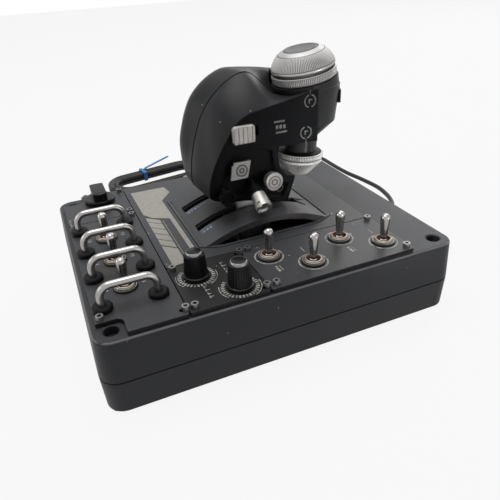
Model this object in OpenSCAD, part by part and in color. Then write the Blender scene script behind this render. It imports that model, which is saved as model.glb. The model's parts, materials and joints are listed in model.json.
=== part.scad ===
// Throttle unit of a flight simulator: a hand grip on a swinging lever, over a base with switch panels.
// Millimetres, X along the lever's travel (forward is +X), Y away from the control side, Z up.
// The origin is under the middle of the case, on the surface that the rubber feet stand on.

/* [Case] */
// Case length along the lever's travel, at the top edge
case_l = 245; // [238:1:260]
// Case width at the top edge
case_w = 203; // [198:1:215]
// Height of the lower tray
lower_h = 23; // [20:0.5:30]
// Height of the upper shell
upper_h = 28.4; // [26:0.2:36]
// Corner radius seen from above
corner_r = 11; // [8:0.5:16]
// How far the walls lean out at the joint between the halves
flare = 1.4; // [0.6:0.1:2]
// Wall thickness of both halves
wall = 3; // [2.4:0.1:3.6]
// Height of the rubber feet below the tray
foot_h = 1.2; // [0.8:0.1:2]
// Distance of the corner fixing holes from the case edges
hole_inset = 11.2; // [10.5:0.1:13]
// Diameter of the corner fixing holes
hole_d = 5.6; // [5:0.1:6.4]

/* [Panels] */
// Thickness of the switch panels
plate_t = 3; // [2:0.1:4]
// Gap between neighbouring panels
plate_gap = 0.5; // [0.3:0.1:0.8]
// Head diameter of the panel screws
screw_head_d = 4.6; // [4:0.1:5.4]

/* [Guards and switches] */
// Rod diameter of the guard loops
loop_rod_d = 4.6; // [4:0.1:5.2]
// Height of the guard loops above the panel
loop_h = 17.6; // [15:0.2:22]
// Distance between the two legs of a guard loop
loop_w = 33.4; // [30:0.2:36]
// Distance from one guard loop to the next
loop_pitch = 34.3; // [32:0.1:36]
// Height of the toggle levers above the panel
toggle_h = 21; // [18:0.2:24]
// Outside diameter of the toggle bushings
bushing_d = 11.8; // [11:0.1:12.4]
// Flange diameter of the two rotary knobs
knob_d = 16.6; // [15:0.1:19]
// Height of the two rotary knobs above the panel
knob_h = 19; // [16:0.2:24]
// Diameter of the selector's disc
selector_d = 24.6; // [22:0.2:27]

/* [Arch and lever] */
// Outer radius of the arched cover
arch_r = 102.7; // [98:0.1:110]
// Height of the arch's crown above the panels
arch_rise = 12.4; // [11:0.1:12.8]
// Thickness of the arched cover
arch_t = 4.6; // [3.6:0.1:5]
// Width of the two lever slots
slot_w = 9.2; // [8.6:0.1:11]
// Distance between the two lever slots
slot_pitch = 34; // [33:0.2:35]
// Thickness of each lever arm
arm_t = 4.4; // [3.6:0.1:4.6]
// Diameter of the pivot shaft
shaft_d = 8; // [6:0.5:8]

/* [Grip] */
// Width of the grip from the control face to its far side
grip_w = 54.5; // [53:0.5:58]
// Wall thickness of the grip's shells
shell_t = 2.6; // [2:0.1:3]
// Diameter of the upper knob's ring
upper_knob_d = 46.6; // [44:0.2:47.4]
// Diameter of the lower knob's ring
lower_knob_d = 36; // [30:0.2:38]
// Width of the ribbed slide cap
slide_l = 16.4; // [14:0.2:18]

/* [Hidden] */
$fn = 48;

// Running and assembly clearances, and how far a cut runs past a face
run_gap = 0.05;
free_gap = 0.35;
fit_gap = 0.02;
lip_gap = 0.15;
screw_play = 0.4;
past = 1;

// Levels
seam_gap = 0.6;
lip_h = 2.4;
lip_t = 1.4;
toe = 0.4;
edge = 0.9;
deck_t = 3;
zs = foot_h + lower_h;
zr = zs + upper_h;
zp = zr + plate_t;
z_floor = foot_h + wall;

// Corner fixing holes and the screws that join the halves
fix_x = case_l / 2 - hole_inset;
fix_y = case_w / 2 - hole_inset;
fix_mouth_d = 10.4;
fix_sink_d = 8.8;
fix_sink_h = 6;
fix_chamfer = 0.8;
fix_column_d = 14;
tie_inset = 9.4;
tie_x = case_l / 4;
tie_points = [
    for (sx = [-1, 1], sy = [-1, 1]) [sx * tie_x, sy * (case_w / 2 - tie_inset)],
    for (sx = [-1, 1]) [sx * (case_l / 2 - tie_inset), 0]
];
tie_column_d = 9;
tie_screw_d = 3;
tie_head_d = 5.6;
tie_head_h = 3.4;
tie_sink_h = 4;
tie_grip_l = 10;
hex_d = 2.6;
hex_h = 1.6;
foot_d = 16;
foot_sink = 1;
foot_inset = [32, 26];
foot_points = [
    for (sx = [-1, 1], sy = [-1, 1])
        [sx * (case_l / 2 - foot_inset[0]), sy * (case_w / 2 - foot_inset[1])]
];

// Panel layout seen from above
panel_x0 = -case_l / 2 + 3.7;
panel_y0 = -case_w / 2 + 2.2;
panel_y1 = case_w / 2 - 3;
panel_x1 = case_l / 2 - 34.5;
left_w = 50.8;
knob_w = 51;
row_w = 52.3;
split_left = panel_x0 + left_w;
split_knob = split_left + knob_w;
split_row = panel_y0 + row_w;
centre_x1 = panel_x1 - 1.8;
notch_l = 15.4;
notch_w = 14.2;
notch_r = 4;
notch_x = panel_x0 + notch_l;
notch_y = panel_y0 + notch_w;
loop_first = 12.2;
loop_y0 = notch_y + loop_first + 3 * loop_pitch;
split_guard = loop_y0 + 15.2;
screw_in = 3.4;
screw_hole_d = 3;
screw_thread_d = 2.5;
screw_head_h = 2.8;
edge_in = 3.6;
guard_screws = [
    [panel_x0 + screw_in, notch_y + screw_in],
    [split_left - screw_in, panel_y0 + 5],
    [panel_x0 + screw_in, split_guard - edge_in],
    [split_left - screw_in, split_guard - edge_in]
];
selector_screws = [
    [panel_x0 + screw_in, split_guard + edge_in],
    [split_left - screw_in, split_guard + edge_in],
    [notch_x + screw_in, panel_y1 - 6],
    [split_left - screw_in, panel_y1 - 4.5]
];
knob_screws = [
    for (x = [split_left + screw_in, split_knob - screw_in], y = [panel_y0 + 4.6, split_row - edge_in])
        [x, y]
];
toggle_screws = [
    for (x = [split_knob + screw_in + 1, panel_x1 - screw_in], y = [panel_y0 + 4.2, split_row - 3.2])
        [x, y]
];
all_screws = concat(guard_screws, selector_screws, knob_screws, toggle_screws);

// Guard loops and toggles
guard_x = panel_x0 + 23;
loop_x0 = guard_x - loop_w / 2;
loop_bend = 7;
loop_points = [for (i = [0:3], sx = [0, 1]) [loop_x0 + sx * loop_w, loop_y0 - i * loop_pitch]];
collar_d = 12.4;
collar_h = 3.6;
collar_chamfer = 1;
guard_toggles = [for (i = [0:2]) [guard_x, loop_y0 - (i + 0.5) * loop_pitch]];
row_toggles = [
    [split_knob + 14.8, panel_y0 + 35.2], [split_knob + 37.5, panel_y0 + 16.3],
    [panel_x1 - 36.7, panel_y0 + 34.5], [panel_x1 - 13, panel_y0 + 16.7]
];
all_toggles = concat(guard_toggles, row_toggles);
toggle_pivot = zp + 1;
toggle_bore_d = 6.8;
toggle_ball_r = 3;
toggle_neck_r = 2.2;
toggle_tip_r = 3.2;
bushing_h = 2.8;
nut_d = 15.6;
nut_h = 2;
nut_chamfer = 0.6;
toggle_box = [13.2, 8.8, 13];
toggle_pin = [1, 2.4, 5];
toggle_pin_pitch = 4.6;
toggle_tail_l = 6.5;
toggle_tail_r = 1.1;
toggle_mouth_h = 1.8;
toggle_mouth_d = 9.2;

// Rotary knobs and the selector
knob_points = [[split_left + 15.1, panel_y0 + 34.7], [split_left + 35.5, panel_y0 + 11.9]];
rotary_shaft_d = 6;
rotary_bushing_d = 9;
rotary_sink = 5;
selector_sink = 8;
encoder_box = [13, 13, 9];
knob_foot_h = 2.2;
knob_skirt_h = knob_h - 5;
knob_cap_d = knob_d - 6;
knob_cap_h = 1.5;
knob_chamfer = 0.8;
selector_at = [panel_x0 + 29.1, panel_y1 - 17.9];
selector_body_d = 22;
selector_body_h = 16;
selector_disc_h = 3.4;
selector_room_d = 25;

// Arched cover, in the opening of the centre panel
lever_y = split_row + 57.5;
arch_x = panel_x1 - 75.8;
arch_z = zp + arch_rise - arch_r;
frame_hx = 51.9;
frame_hy = 48;
frame_cut = [13, 6];
frame_w = 2;
frame_lip = 0.4;
arch_drop = 12;
arch_reach = 60;
frame_gap = 0.25;
arch_gap = 0.4;
arch_hy = 44.5;
slot_x0 = arch_x - 45.7;
slot_x1 = arch_x + 34.8;
seal_w = 2;
seal_depth = [3, 1.4];
tail_t = 0.4;
tail_line = [[0, -slot_w / 2], [5.5, -8], [1.5, 0], [9.5, 4.4], [0, slot_w / 2]];

// Lever pivot inside the case
piv_z = z_floor + 13.4;
grip_piv_z = piv_z - zr;
bracket_y = 30.5;
bracket_t = 5;
bearing_d = 2 * shaft_d;
hub_r = 11;
bracket_hx = 26;
bracket_foot_t = 3;
bracket_foot_w = 11;
bracket_screw = [20, 6];
bracket_rim = 4;
inner_head_d = 5;
magnet_h = 2.4;

// Boards inside the case
board_t = 1.6;
board_z = z_floor + 5;
board_l = 70;
board_w = 50;
board_at = [split_left - 4, lever_y + 24.5];
board_posts = [
    for (sx = [-1, 1], sy = [-1, 1])
        [board_at[0] + sx * (board_l / 2 - 4), board_at[1] + sy * (board_w / 2 - 4)]
];
post_d = 6;
chip = [14, 14, 1.4];
header = [6, 30, 6];
header_x = 22;
sensor_w = 26;
sensor_chip = [5, 1.4, 5];
sensor_gap = 5;

// Grip, in a frame whose height starts at the case's top edge, with the lever at its own place along X
grip_lever_x = 12.2;
arm_hx = 14;
arm_waist = [12.5, 30];
grip_arm_top = 32.5;
block_z = 26.5;
block_slot = [12, 2.4];
grip_near = lever_y - 26.5;
grip_far = grip_near + grip_w;
face_t = 3;
bottom_line = [[36.5, 14.4], [25, 17.4], [12, 20.8], [0, 22.8], [-12, 24], [-21, 27.5]];
hump_mid = [
    [-27.5, 32], [-28.3, 39], [-27, 50], [-24.7, 60], [-21.5, 70], [-17.4, 80], [-11.8, 88.5],
    [-5, 95.5], [3, 101.5], [12, 105.6], [20, 105.4], [28, 99], [36, 90], [46, 87]
];
hump_near = [
    [-23.6, 29.5], [-23.6, 36.5], [-21.7, 44.5], [-18, 53.5], [-13, 62.3], [-7.6, 70.6], [-2.3, 77.7],
    [2.7, 81.6], [8.9, 84.3], [14.5, 85.4], [21, 86.6], [28, 88], [36, 89.4], [44.4, 90.8]
];
hump_far = [
    [-27, 32], [-28.6, 40], [-29.3, 50], [-29, 60], [-26.6, 70], [-22.8, 81], [-18, 90],
    [-11.5, 97], [-3, 103], [7, 107], [17, 106.8], [28, 105.6], [38, 104.2], [50, 102]
];
hump_power = [1.6, 1.6, 1.6, 1.6, 1.6, 1.6, 1.6, 1.6, 1.5, 1.4, 1.3, 1.1, 1, 1];
far_ridge = 0.6;
nose_x = 61;
// Front edge of the grip under the nose, at its two sides and at the middle plane
right_side = [
    [nose_x, 94], [nose_x, 57], [30, 58], [29, 51], [30.5, 42.5], [36, 35.5], [43, 33.6]
];
right_mid = [
    [nose_x, 94], [nose_x, 57], [35.4, 58], [34.6, 51], [35.8, 43.4], [38.6, 37], [43, 33.6]
];
grip_mid = [10, 58];
window_line = [
    [-3, 60], [-9.5, 53], [-14.5, 43], [-18, 33.6], [-19.2, 30], [-11, 28], [0, 26.6], [12, 24.4],
    [25, 21.2], [33, 18.8], [37, 29], [32.6, 31.4], [26.8, 39], [25, 50], [24.6, 56], [17, 59.6]
];
plate_line = [
    [-2.5, 61.5], [-9.2, 55], [-14.8, 44.5], [-18.6, 35], [-20, 31], [-11, 27.2], [0, 25.8], [12, 23.8],
    [25, 20.4], [33.6, 17.8], [38.4, 30.6], [33.4, 32.8], [27.4, 40.6], [25.6, 51], [26, 57], [17, 61]
];

// Nose with the two knobs
nose_y = lever_y - 1;
nose_r = 24.5;
upper_axis = [63.64, nose_y, 96.4];
upper_tilt = -9.3;
lower_axis = [60, nose_y, 42.8];
lower_tilt = 4;
neck_r = 12.8;
neck_h = 18;
knob_shaft_d = 6;
// Rings of the nose from the top down: how far forward, how high and how wide
nose_rings = [[3.4, 92, 25.2], [1.2, 67, 24.2], [-2.4, 55, 14]];
nose_cap_h = 9.2;
knob_shaft_in = 12;
nose_pocket_at = [6, 62];
nose_pocket = [8, 24, 20];
nose_button_size = [11, 12, 9];
knob_ring_h = 5.8;
knob_groove = 2.6;
knob_cone_z = 8;
knob_top_z = 20.8;
button_d = 24.4;
button_stem_d = 6;
button_h = 2.8;

// Controls on the grip, as places on the face
slide_at = [2.7, 72];
slide_run = 9;
hat_square_at = [-1.4, 47.6];
push_at = [22, 36];
hat_castle_at = [7.7, 38.1];
castle_droop = 30;
hat_black_at = [-14, 31.5];
plate_face = grip_near + face_t;
plate_thick = 2.5;
hat_hole_d = 7.2;
hat_stem_d = 3.8;
push_stem_d = 5;
slide_neck = [5, 6];
slide_h = 12.6;
slide_t = 3.4;
slide_r = 2.6;
grip_bolts = [[-5.5, 65.5], [18, 79], [34, 66], [52, 64]];
bolt_post_d = 6.5;
bolt_head_d = 5;
bolt_head_h = 1.8;
bolt_sink = 2.2;

// Steps of the grip's two lofts, from the middle plane outward
near_steps = [0, 0.15, 0.3, 0.45, 0.6, 0.75, 0.88, 1];
far_steps = [0, 0.15, 0.3, 0.45, 0.6, 0.72, 0.82, 0.9, 0.96, 1];
far_round = 0.24;

// Cord
cord_d = 4.5;
gland_y = 26;
gland_z = 11;
gland_l = 22;
gland_d = 9;
gland_tip_d = 6.4;
gland_flange_d = 11;
gland_flange_t = 2.6;
// How far the tray's leaning wall stands out at the top of the gland's flange
gland_out = toe + (flare - toe) * (gland_z + gland_flange_d / 2 - foot_h) / (lower_h - seam_gap) + fit_gap;
lie_z = cord_d / 2 + 0.05;
// The route on the table, measured from where the gland leaves the case
cord_path = [
    [-2.5, 0, gland_z], [9.5, 0, gland_z], [21.5, 0, gland_z], [28.5, 0, 9.8], [35.5, 1, 6.8],
    [42.5, 4, 3.8], [50.5, 9, 2.5], [59.5, 16, lie_z], [67.5, 25, lie_z], [73.5, 37, lie_z],
    [77.5, 51, lie_z], [79.5, 66, lie_z], [78.5, 82, lie_z], [76.5, 98, lie_z], [73.5, 116, lie_z],
    [72.5, 134, lie_z], [72.5, 152, lie_z], [72.5, 170, lie_z], [69.5, 188, lie_z],
    [62.5, 204, lie_z], [51.5, 218, lie_z], [36.5, 229, lie_z], [18.5, 236, lie_z],
    [-0.5, 240, lie_z], [-21.5, 241.4, lie_z], [-41.5, 242.2, lie_z], [-59.5, 242.8, lie_z],
    [-75.5, 243.2, lie_z], [-89.1, 241.8, lie_z], [-100.9, 239.7, lie_z]
];
cord_route = [for (p = cord_path) [case_l / 2 + p[0], gland_y + p[1], p[2]]];
hank_at = [case_l / 2 - 130.5, gland_y + 211.5];
hank_turn = 10;
hank_l = 118;
hank_w = 50;
hank_bundle = 14;
hank_h = 9.2;
tie_w = 4;
tie_t = 1.2;
tie_along = -12;
tail_w = 2.6;
tail_l = 72;
tail_turn = -48;
plug_box = [24, 16, 8];
plug_shell = [12, 12, 4.5];
plug_along = 22;

module rounded(l, w, r) {
    translate([r - l / 2, -w / 2]) square([l - 2 * r, w]);
    translate([-l / 2, r - w / 2]) square([l, w - 2 * r]);
    for (sx = [-1, 1], sy = [-1, 1])
        translate([sx * (l / 2 - r), sy * (w / 2 - r)]) circle(r);
}

module case_2d(g) {
    rounded(case_l + 2 * g, case_w + 2 * g, corner_r + g);
}

module plate_2d(x0, y0, x1, y1, r = 1.5) {
    translate([(x0 + x1) / 2, (y0 + y1) / 2]) rounded(x1 - x0, y1 - y0, r);
}

module each_at(points, z = 0) {
    for (p = points) translate([p[0], p[1], z]) children();
}

// Both sides of a block whose wall follows a profile of heights and offsets from the case's edge
function both_sides(profile, half) = concat(
    [for (p = profile) [half + p[1], p[0]]],
    [for (i = [len(profile) - 1:-1:0]) [-half - profile[i][1], profile[i][0]]]
);
function corner_line(profile) = concat(
    [[0, profile[0][0]]],
    [for (p = profile) [corner_r + p[1], p[0]]],
    [[0, profile[len(profile) - 1][0]]]
);

module leaning(profile) {
    cx = case_l / 2 - corner_r;
    cy = case_w / 2 - corner_r;
    for (sx = [-1, 1], sy = [-1, 1])
        translate([sx * cx, sy * cy, 0]) rotate_extrude() polygon(corner_line(profile));
    translate([-cx, 0, 0]) rotate([90, 0, 90])
        linear_extrude(height = 2 * cx) polygon(both_sides(profile, case_w / 2));
    translate([0, cy, 0]) rotate([90, 0, 0])
        linear_extrude(height = 2 * cy) polygon(both_sides(profile, case_l / 2));
}

module corner_points(z) {
    for (sx = [-1, 1], sy = [-1, 1]) translate([sx * fix_x, sy * fix_y, z]) children();
}

module lower_case() {
    color("#1d1e20") difference() {
        union() {
            difference() {
                union() {
                    leaning([[foot_h, toe], [zs - seam_gap, flare]]);
                    translate([0, 0, zs - seam_gap - past])
                        linear_extrude(height = lip_h + seam_gap + past) case_2d(lip_t - wall);
                }
                translate([0, 0, z_floor]) linear_extrude(height = lower_h + lip_h) case_2d(-wall);
            }
            corner_points(foot_h + past) cylinder(d = fix_column_d, h = lower_h - past);
            each_at(tie_points, foot_h + past) cylinder(d = tie_column_d, h = lower_h - past);
            each_at(board_posts, foot_h + past) cylinder(d = post_d, h = board_z - foot_h - past);
        }
        corner_points(0) cylinder(d = hole_d, h = zs + past);
        each_at(tie_points, 0) cylinder(d = tie_screw_d + screw_play, h = zs + past);
        each_at(tie_points, 0) cylinder(d = tie_head_d + 2 * screw_play, h = foot_h + tie_sink_h);
        each_at(foot_points, 0) cylinder(d = foot_d, h = foot_h + foot_sink);
        each_at(board_posts, z_floor) cylinder(d = screw_thread_d, h = board_z);
        bracket_feet() cylinder(d = screw_thread_d, h = 2 * wall, center = true);
        translate([case_l / 2 - wall - past, gland_y, gland_z]) rotate([0, 90, 0])
            cylinder(d = gland_d, h = 3 * wall);
    }
}

module rubber_feet() {
    color("#141414") each_at(foot_points) cylinder(d = foot_d, h = foot_h + foot_sink);
}

module upper_case() {
    color("#1c1d1f") difference() {
        union() {
            difference() {
                leaning([[zs, flare], [zr - edge, 0], [zr, -edge]]);
                translate([0, 0, zs - past])
                    linear_extrude(height = upper_h - deck_t + past) case_2d(-wall);
                translate([0, 0, zs - past])
                    linear_extrude(height = lip_h + lip_gap + past) case_2d(lip_t - wall + lip_gap);
            }
            corner_points(zs) cylinder(d = fix_column_d, h = upper_h - past);
            each_at(tie_points, zs) cylinder(d = tie_column_d, h = upper_h - past);
        }
        corner_points(zs - past) cylinder(d = hole_d, h = upper_h + 2 * past);
        corner_points(zr - fix_sink_h) cylinder(d = fix_sink_d, h = fix_sink_h + past);
        corner_points(zr - fix_chamfer)
            cylinder(d1 = fix_sink_d, d2 = fix_mouth_d, h = fix_chamfer + fit_gap);
        each_at(tie_points, zs - past) cylinder(d = tie_screw_d, h = tie_grip_l + 3 * past);
        each_at(all_screws, zr - deck_t - past) cylinder(d = screw_thread_d, h = deck_t + 2 * past);
        deck_hole(guard_x - 8, panel_y0 + 11.3, split_left - 6, split_guard - 7);
        each_at([selector_at], zr - deck_t - past) cylinder(d = selector_room_d, h = deck_t + 2 * past);
        deck_hole(split_left + 7, panel_y0 + 4.4, split_knob - 6.8, split_row - 7);
        deck_hole(split_knob + 7.2, panel_y0 + 8.5, panel_x1 - 5.8, split_row - 7);
        deck_hole(
            arch_x - frame_hx - 3, lever_y - frame_hy + 1,
            arch_x + frame_hx + 3, lever_y + frame_hy - 1
        );
    }
}

module deck_hole(x0, y0, x1, y1) {
    translate([0, 0, zr - deck_t - past])
        linear_extrude(height = deck_t + 2 * past) plate_2d(x0, y0, x1, y1, 2);
}

module case_screws() {
    color("#3a3a3c") each_at(tie_points, foot_h + tie_sink_h - tie_head_h) difference() {
        union() {
            cylinder(d = tie_head_d, h = tie_head_h);
            cylinder(d = tie_screw_d, h = lower_h + tie_grip_l);
        }
        translate([0, 0, -past]) cylinder(d = hex_d, h = hex_h + past, $fn = 6);
    }
}

module panel_holes(screws) {
    each_at(screws, zr - past) cylinder(d = screw_hole_d, h = plate_t + 2 * past);
}

module guard_panel() {
    color("#222326") difference() {
        translate([0, 0, zr]) linear_extrude(height = plate_t) difference() {
            plate_2d(panel_x0, panel_y0, split_left - plate_gap / 2, split_guard - plate_gap / 2);
            plate_2d(panel_x0 - notch_l, panel_y0 - notch_w, notch_x, notch_y, notch_r);
        }
        panel_holes(guard_screws);
        each_at(loop_points, zr - past) cylinder(d = loop_rod_d, h = plate_t + 2 * past);
        each_at(guard_toggles, zr - past) cylinder(d = bushing_d, h = plate_t + 2 * past);
    }
}

module selector_panel() {
    color("#222326") difference() {
        translate([0, 0, zr]) linear_extrude(height = plate_t) difference() {
            plate_2d(panel_x0, split_guard + plate_gap / 2, split_left - plate_gap / 2, panel_y1);
            plate_2d(panel_x0 - notch_l, -notch_y, notch_x, panel_y1 + notch_w, notch_r);
        }
        panel_holes(selector_screws);
        each_at([selector_at], zr - past) cylinder(d = rotary_bushing_d, h = plate_t + 2 * past);
    }
}

module knob_panel() {
    color("#222326") difference() {
        translate([0, 0, zr]) linear_extrude(height = plate_t)
            plate_2d(
                split_left + plate_gap / 2, panel_y0,
                split_knob - plate_gap / 2, split_row - plate_gap / 2
            );
        panel_holes(knob_screws);
        each_at(knob_points, zr - past) cylinder(d = rotary_bushing_d, h = plate_t + 2 * past);
    }
}

module toggle_panel() {
    color("#222326") difference() {
        translate([0, 0, zr]) linear_extrude(height = plate_t)
            plate_2d(split_knob + plate_gap / 2, panel_y0, panel_x1, split_row - plate_gap / 2);
        panel_holes(toggle_screws);
        each_at(row_toggles, zr - past) cylinder(d = bushing_d, h = plate_t + 2 * past);
    }
}

// Outline of the arched cover: a rectangle with shallow cut corners
module frame_2d(g) {
    hx = frame_hx + g;
    hy = frame_hy + g;
    cx = frame_cut[0];
    cy = frame_cut[1];
    translate([arch_x, lever_y]) polygon([
        [hx, cy - hy], [hx, hy - cy], [hx - cx, hy], [cx - hx, hy],
        [-hx, hy - cy], [-hx, cy - hy], [cx - hx, -hy], [hx - cx, -hy]
    ]);
}

module centre_panel() {
    color("#2a2b2e") translate([0, 0, zr]) linear_extrude(height = plate_t) difference() {
        plate_2d(split_left + plate_gap / 2, split_row + plate_gap / 2, centre_x1, panel_y1);
        frame_2d(frame_gap);
    }
}

// A curved strip of the arch, between two radii and two planes across the lever
module arch_strip(r0, r1, y0, y1, x0, x1) {
    intersection() {
        translate([arch_x, y1, arch_z]) rotate([90, 0, 0]) linear_extrude(height = y1 - y0) difference() {
            circle(r1, $fn = 180);
            circle(r0, $fn = 180);
        }
        translate([x0, y0 - past, zr - arch_drop]) cube([x1 - x0, y1 - y0 + 2 * past, arch_reach]);
    }
}

module arch_cover() {
    color("#232427") difference() {
        union() {
            translate([0, 0, zr]) linear_extrude(height = plate_t + frame_lip) difference() {
                frame_2d(0);
                frame_2d(-frame_w);
            }
            intersection() {
                arch_strip(arch_r - arch_t, arch_r, lever_y - arch_hy, lever_y + arch_hy,
                    arch_x - frame_hx, arch_x + frame_hx);
                translate([0, 0, zr - arch_drop]) linear_extrude(height = arch_reach) frame_2d(-arch_gap);
            }
        }
        for (s = [-1, 1])
            translate([slot_x0, lever_y + s * slot_pitch / 2 - slot_w / 2, zr - arch_drop])
                cube([slot_x1 - slot_x0, slot_w, arch_reach]);
    }
}

// Two rubber lips in each slot and the forked tail at the slot's forward end
module slot_seals() {
    color("#0c0c0d") for (s = [-1, 1]) {
        y = lever_y + s * slot_pitch / 2;
        for (side = [-1, 1])
            arch_strip(arch_r - seal_depth[0], arch_r - seal_depth[1],
                y + (side > 0 ? slot_w / 2 - seal_w : -slot_w / 2),
                y + (side > 0 ? slot_w / 2 : seal_w - slot_w / 2), slot_x0, slot_x1);
        intersection() {
            arch_strip(arch_r, arch_r + tail_t, y - slot_w, y + slot_w, slot_x1, slot_x1 + slot_w + 2);
            translate([slot_x1, y, zr]) linear_extrude(height = 3 * arch_rise) polygon(tail_line);
        }
    }
}

module guard_loops() {
    top = zp + loop_h - loop_rod_d / 2;
    color("#c9c6c0") for (i = [0:3]) translate([guard_x, loop_y0 - i * loop_pitch, 0]) {
        for (m = [0, 1]) mirror([m, 0, 0]) {
            translate([loop_w / 2, 0, zr]) cylinder(d = loop_rod_d, h = top - loop_bend - zr);
            translate([loop_w / 2 - loop_bend, 0, top - loop_bend]) rotate([90, 0, 0])
                rotate_extrude(angle = 90) translate([loop_bend, 0]) circle(d = loop_rod_d);
        }
        translate([loop_bend - loop_w / 2, 0, top]) rotate([0, 90, 0])
            cylinder(d = loop_rod_d, h = loop_w - 2 * loop_bend);
    }
}

module guard_collars() {
    color("#111113") each_at(loop_points, zp) difference() {
        union() {
            cylinder(d = collar_d, h = collar_h - collar_chamfer);
            translate([0, 0, collar_h - collar_chamfer])
                cylinder(d1 = collar_d, d2 = collar_d - 2 * collar_chamfer, h = collar_chamfer);
        }
        translate([0, 0, -past]) cylinder(d = loop_rod_d, h = collar_h + 2 * past);
    }
}

module panel_screws() {
    color("#4a4a4c") each_at(all_screws, 0) difference() {
        union() {
            translate([0, 0, zp]) cylinder(d = screw_head_d, h = screw_head_h);
            translate([0, 0, zr - deck_t]) cylinder(d = screw_thread_d, h = plate_t + deck_t + past);
        }
        translate([0, 0, zp + screw_head_h - hex_h]) cylinder(d = hex_d, h = hex_h + past, $fn = 6);
    }
}

// A block centred on the axis, hanging down from a height
module hung(size, top) {
    translate([-size[0] / 2, -size[1] / 2, top - size[2]]) cube(size);
}

module toggle_bodies() {
    color("#8a6a3c") each_at(all_toggles, 0) difference() {
        union() {
            hung(toggle_box, zr);
            translate([0, 0, zr - past]) cylinder(d = bushing_d, h = plate_t + bushing_h + past);
            for (k = [-1, 0, 1])
                translate([k * toggle_pin_pitch, 0, 0]) hung(toggle_pin, zr - toggle_box[2] + past);
        }
        translate([0, 0, toggle_pivot - toggle_tail_l - 1.5]) cylinder(d = toggle_bore_d, h = toggle_h);
        translate([0, 0, zp + bushing_h - toggle_mouth_h])
            cylinder(d1 = toggle_bore_d, d2 = toggle_mouth_d, h = toggle_mouth_h + fit_gap);
    }
}

module toggle_nuts() {
    color("#d6d2ca") each_at(all_toggles, zp) difference() {
        union() {
            cylinder(d = nut_d, h = nut_h - nut_chamfer);
            translate([0, 0, nut_h - nut_chamfer])
                cylinder(d1 = nut_d, d2 = nut_d - 2 * nut_chamfer, h = nut_chamfer);
        }
        translate([0, 0, -past]) cylinder(d = bushing_d, h = nut_h + 2 * past);
    }
}

module toggle_lever(at) {
    tip = zp + toggle_h - toggle_tip_r;
    color("#c2c0bc") translate([at[0], at[1], toggle_pivot]) {
        sphere(toggle_ball_r);
        cylinder(r1 = toggle_neck_r, r2 = toggle_tip_r, h = tip - toggle_pivot);
        translate([0, 0, tip - toggle_pivot]) sphere(toggle_tip_r);
        translate([0, 0, -toggle_tail_l]) cylinder(r = toggle_tail_r, h = toggle_tail_l);
    }
}

module encoder_bodies() {
    color("#5d6a58") each_at(knob_points, 0) difference() {
        union() {
            hung(encoder_box, zr);
            translate([0, 0, zr - past]) cylinder(d = rotary_bushing_d, h = plate_t + past);
        }
        translate([0, 0, zr - rotary_sink - 2]) cylinder(d = rotary_shaft_d + 2 * run_gap, h = knob_h);
    }
}

module rotary_knob(at) {
    color("#141416") translate([at[0], at[1], zp + free_gap]) {
        cylinder(d = knob_d, h = knob_foot_h);
        translate([0, 0, knob_foot_h]) cylinder(d1 = knob_d - 2.2, d2 = knob_d - 4.6, h = knob_skirt_h);
        translate([0, 0, knob_foot_h + knob_skirt_h]) {
            cylinder(d = knob_cap_d, h = knob_cap_h);
            translate([0, 0, knob_cap_h])
                cylinder(d1 = knob_cap_d, d2 = knob_cap_d - 2 * knob_chamfer, h = knob_chamfer);
        }
        translate([0, 0, -plate_t - free_gap - rotary_sink])
            cylinder(d = rotary_shaft_d, h = rotary_sink + 2 * plate_t);
    }
}

module selector_body() {
    color("#3d3f42") translate([selector_at[0], selector_at[1], 0]) difference() {
        union() {
            translate([0, 0, zr - selector_body_h]) cylinder(d = selector_body_d, h = selector_body_h);
            translate([0, 0, zr - past]) cylinder(d = rotary_bushing_d, h = plate_t + past);
        }
        translate([0, 0, zr - selector_sink - past])
            cylinder(d = rotary_shaft_d + 2 * run_gap, h = 2 * selector_body_h);
    }
}

module selector_knob() {
    color("#121214") translate([selector_at[0], selector_at[1], zp + free_gap]) {
        cylinder(d = selector_d, h = selector_disc_h);
        translate([0, 0, selector_disc_h]) cylinder(d1 = selector_d, d2 = selector_d - 1.6, h = 0.8);
        intersection() {
            translate([0, -6, 4]) rotate([90, 0, 90]) linear_extrude(height = 11, center = true)
                polygon([[-5.6, 0], [-5.6, 6.6], [-3.4, 7.7], [17, 8], [17, 0]]);
            cylinder(d = selector_d - 1.6, h = 30);
        }
        translate([0, 0, -plate_t - free_gap - selector_sink])
            cylinder(d = rotary_shaft_d, h = selector_sink + plate_t + past);
    }
}

// Two stamped uprights carry the pivot shaft's bearings
module bracket_feet() {
    for (s = [-1, 1], k = [-1, 1])
        translate([arch_x + k * bracket_screw[0], lever_y + s * (bracket_y + bracket_screw[1]), z_floor])
            children();
}

module pivot_brackets() {
    color("#6b6e72") for (s = [-1, 1]) translate([arch_x, lever_y + s * bracket_y, 0]) difference() {
        union() {
            translate([0, bracket_t / 2, 0]) rotate([90, 0, 0]) linear_extrude(height = bracket_t) union() {
                translate([0, piv_z]) circle(d = bearing_d + 2 * bracket_rim);
                polygon([
                    [-bracket_hx, z_floor], [bracket_hx, z_floor], [bracket_hx, z_floor + bracket_foot_t],
                    [hub_r, piv_z], [-hub_r, piv_z], [-bracket_hx, z_floor + bracket_foot_t]
                ]);
            }
            translate([-bracket_hx, s > 0 ? -past : past - bracket_foot_w, z_floor])
                cube([2 * bracket_hx, bracket_foot_w, bracket_foot_t]);
        }
        translate([0, 2 * bracket_t, piv_z]) rotate([90, 0, 0]) cylinder(d = bearing_d, h = 4 * bracket_t);
        for (k = [-1, 1])
            translate([k * bracket_screw[0], s * bracket_screw[1], z_floor - past])
                cylinder(d = screw_hole_d, h = bracket_foot_t + 2 * past);
    }
}

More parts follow.
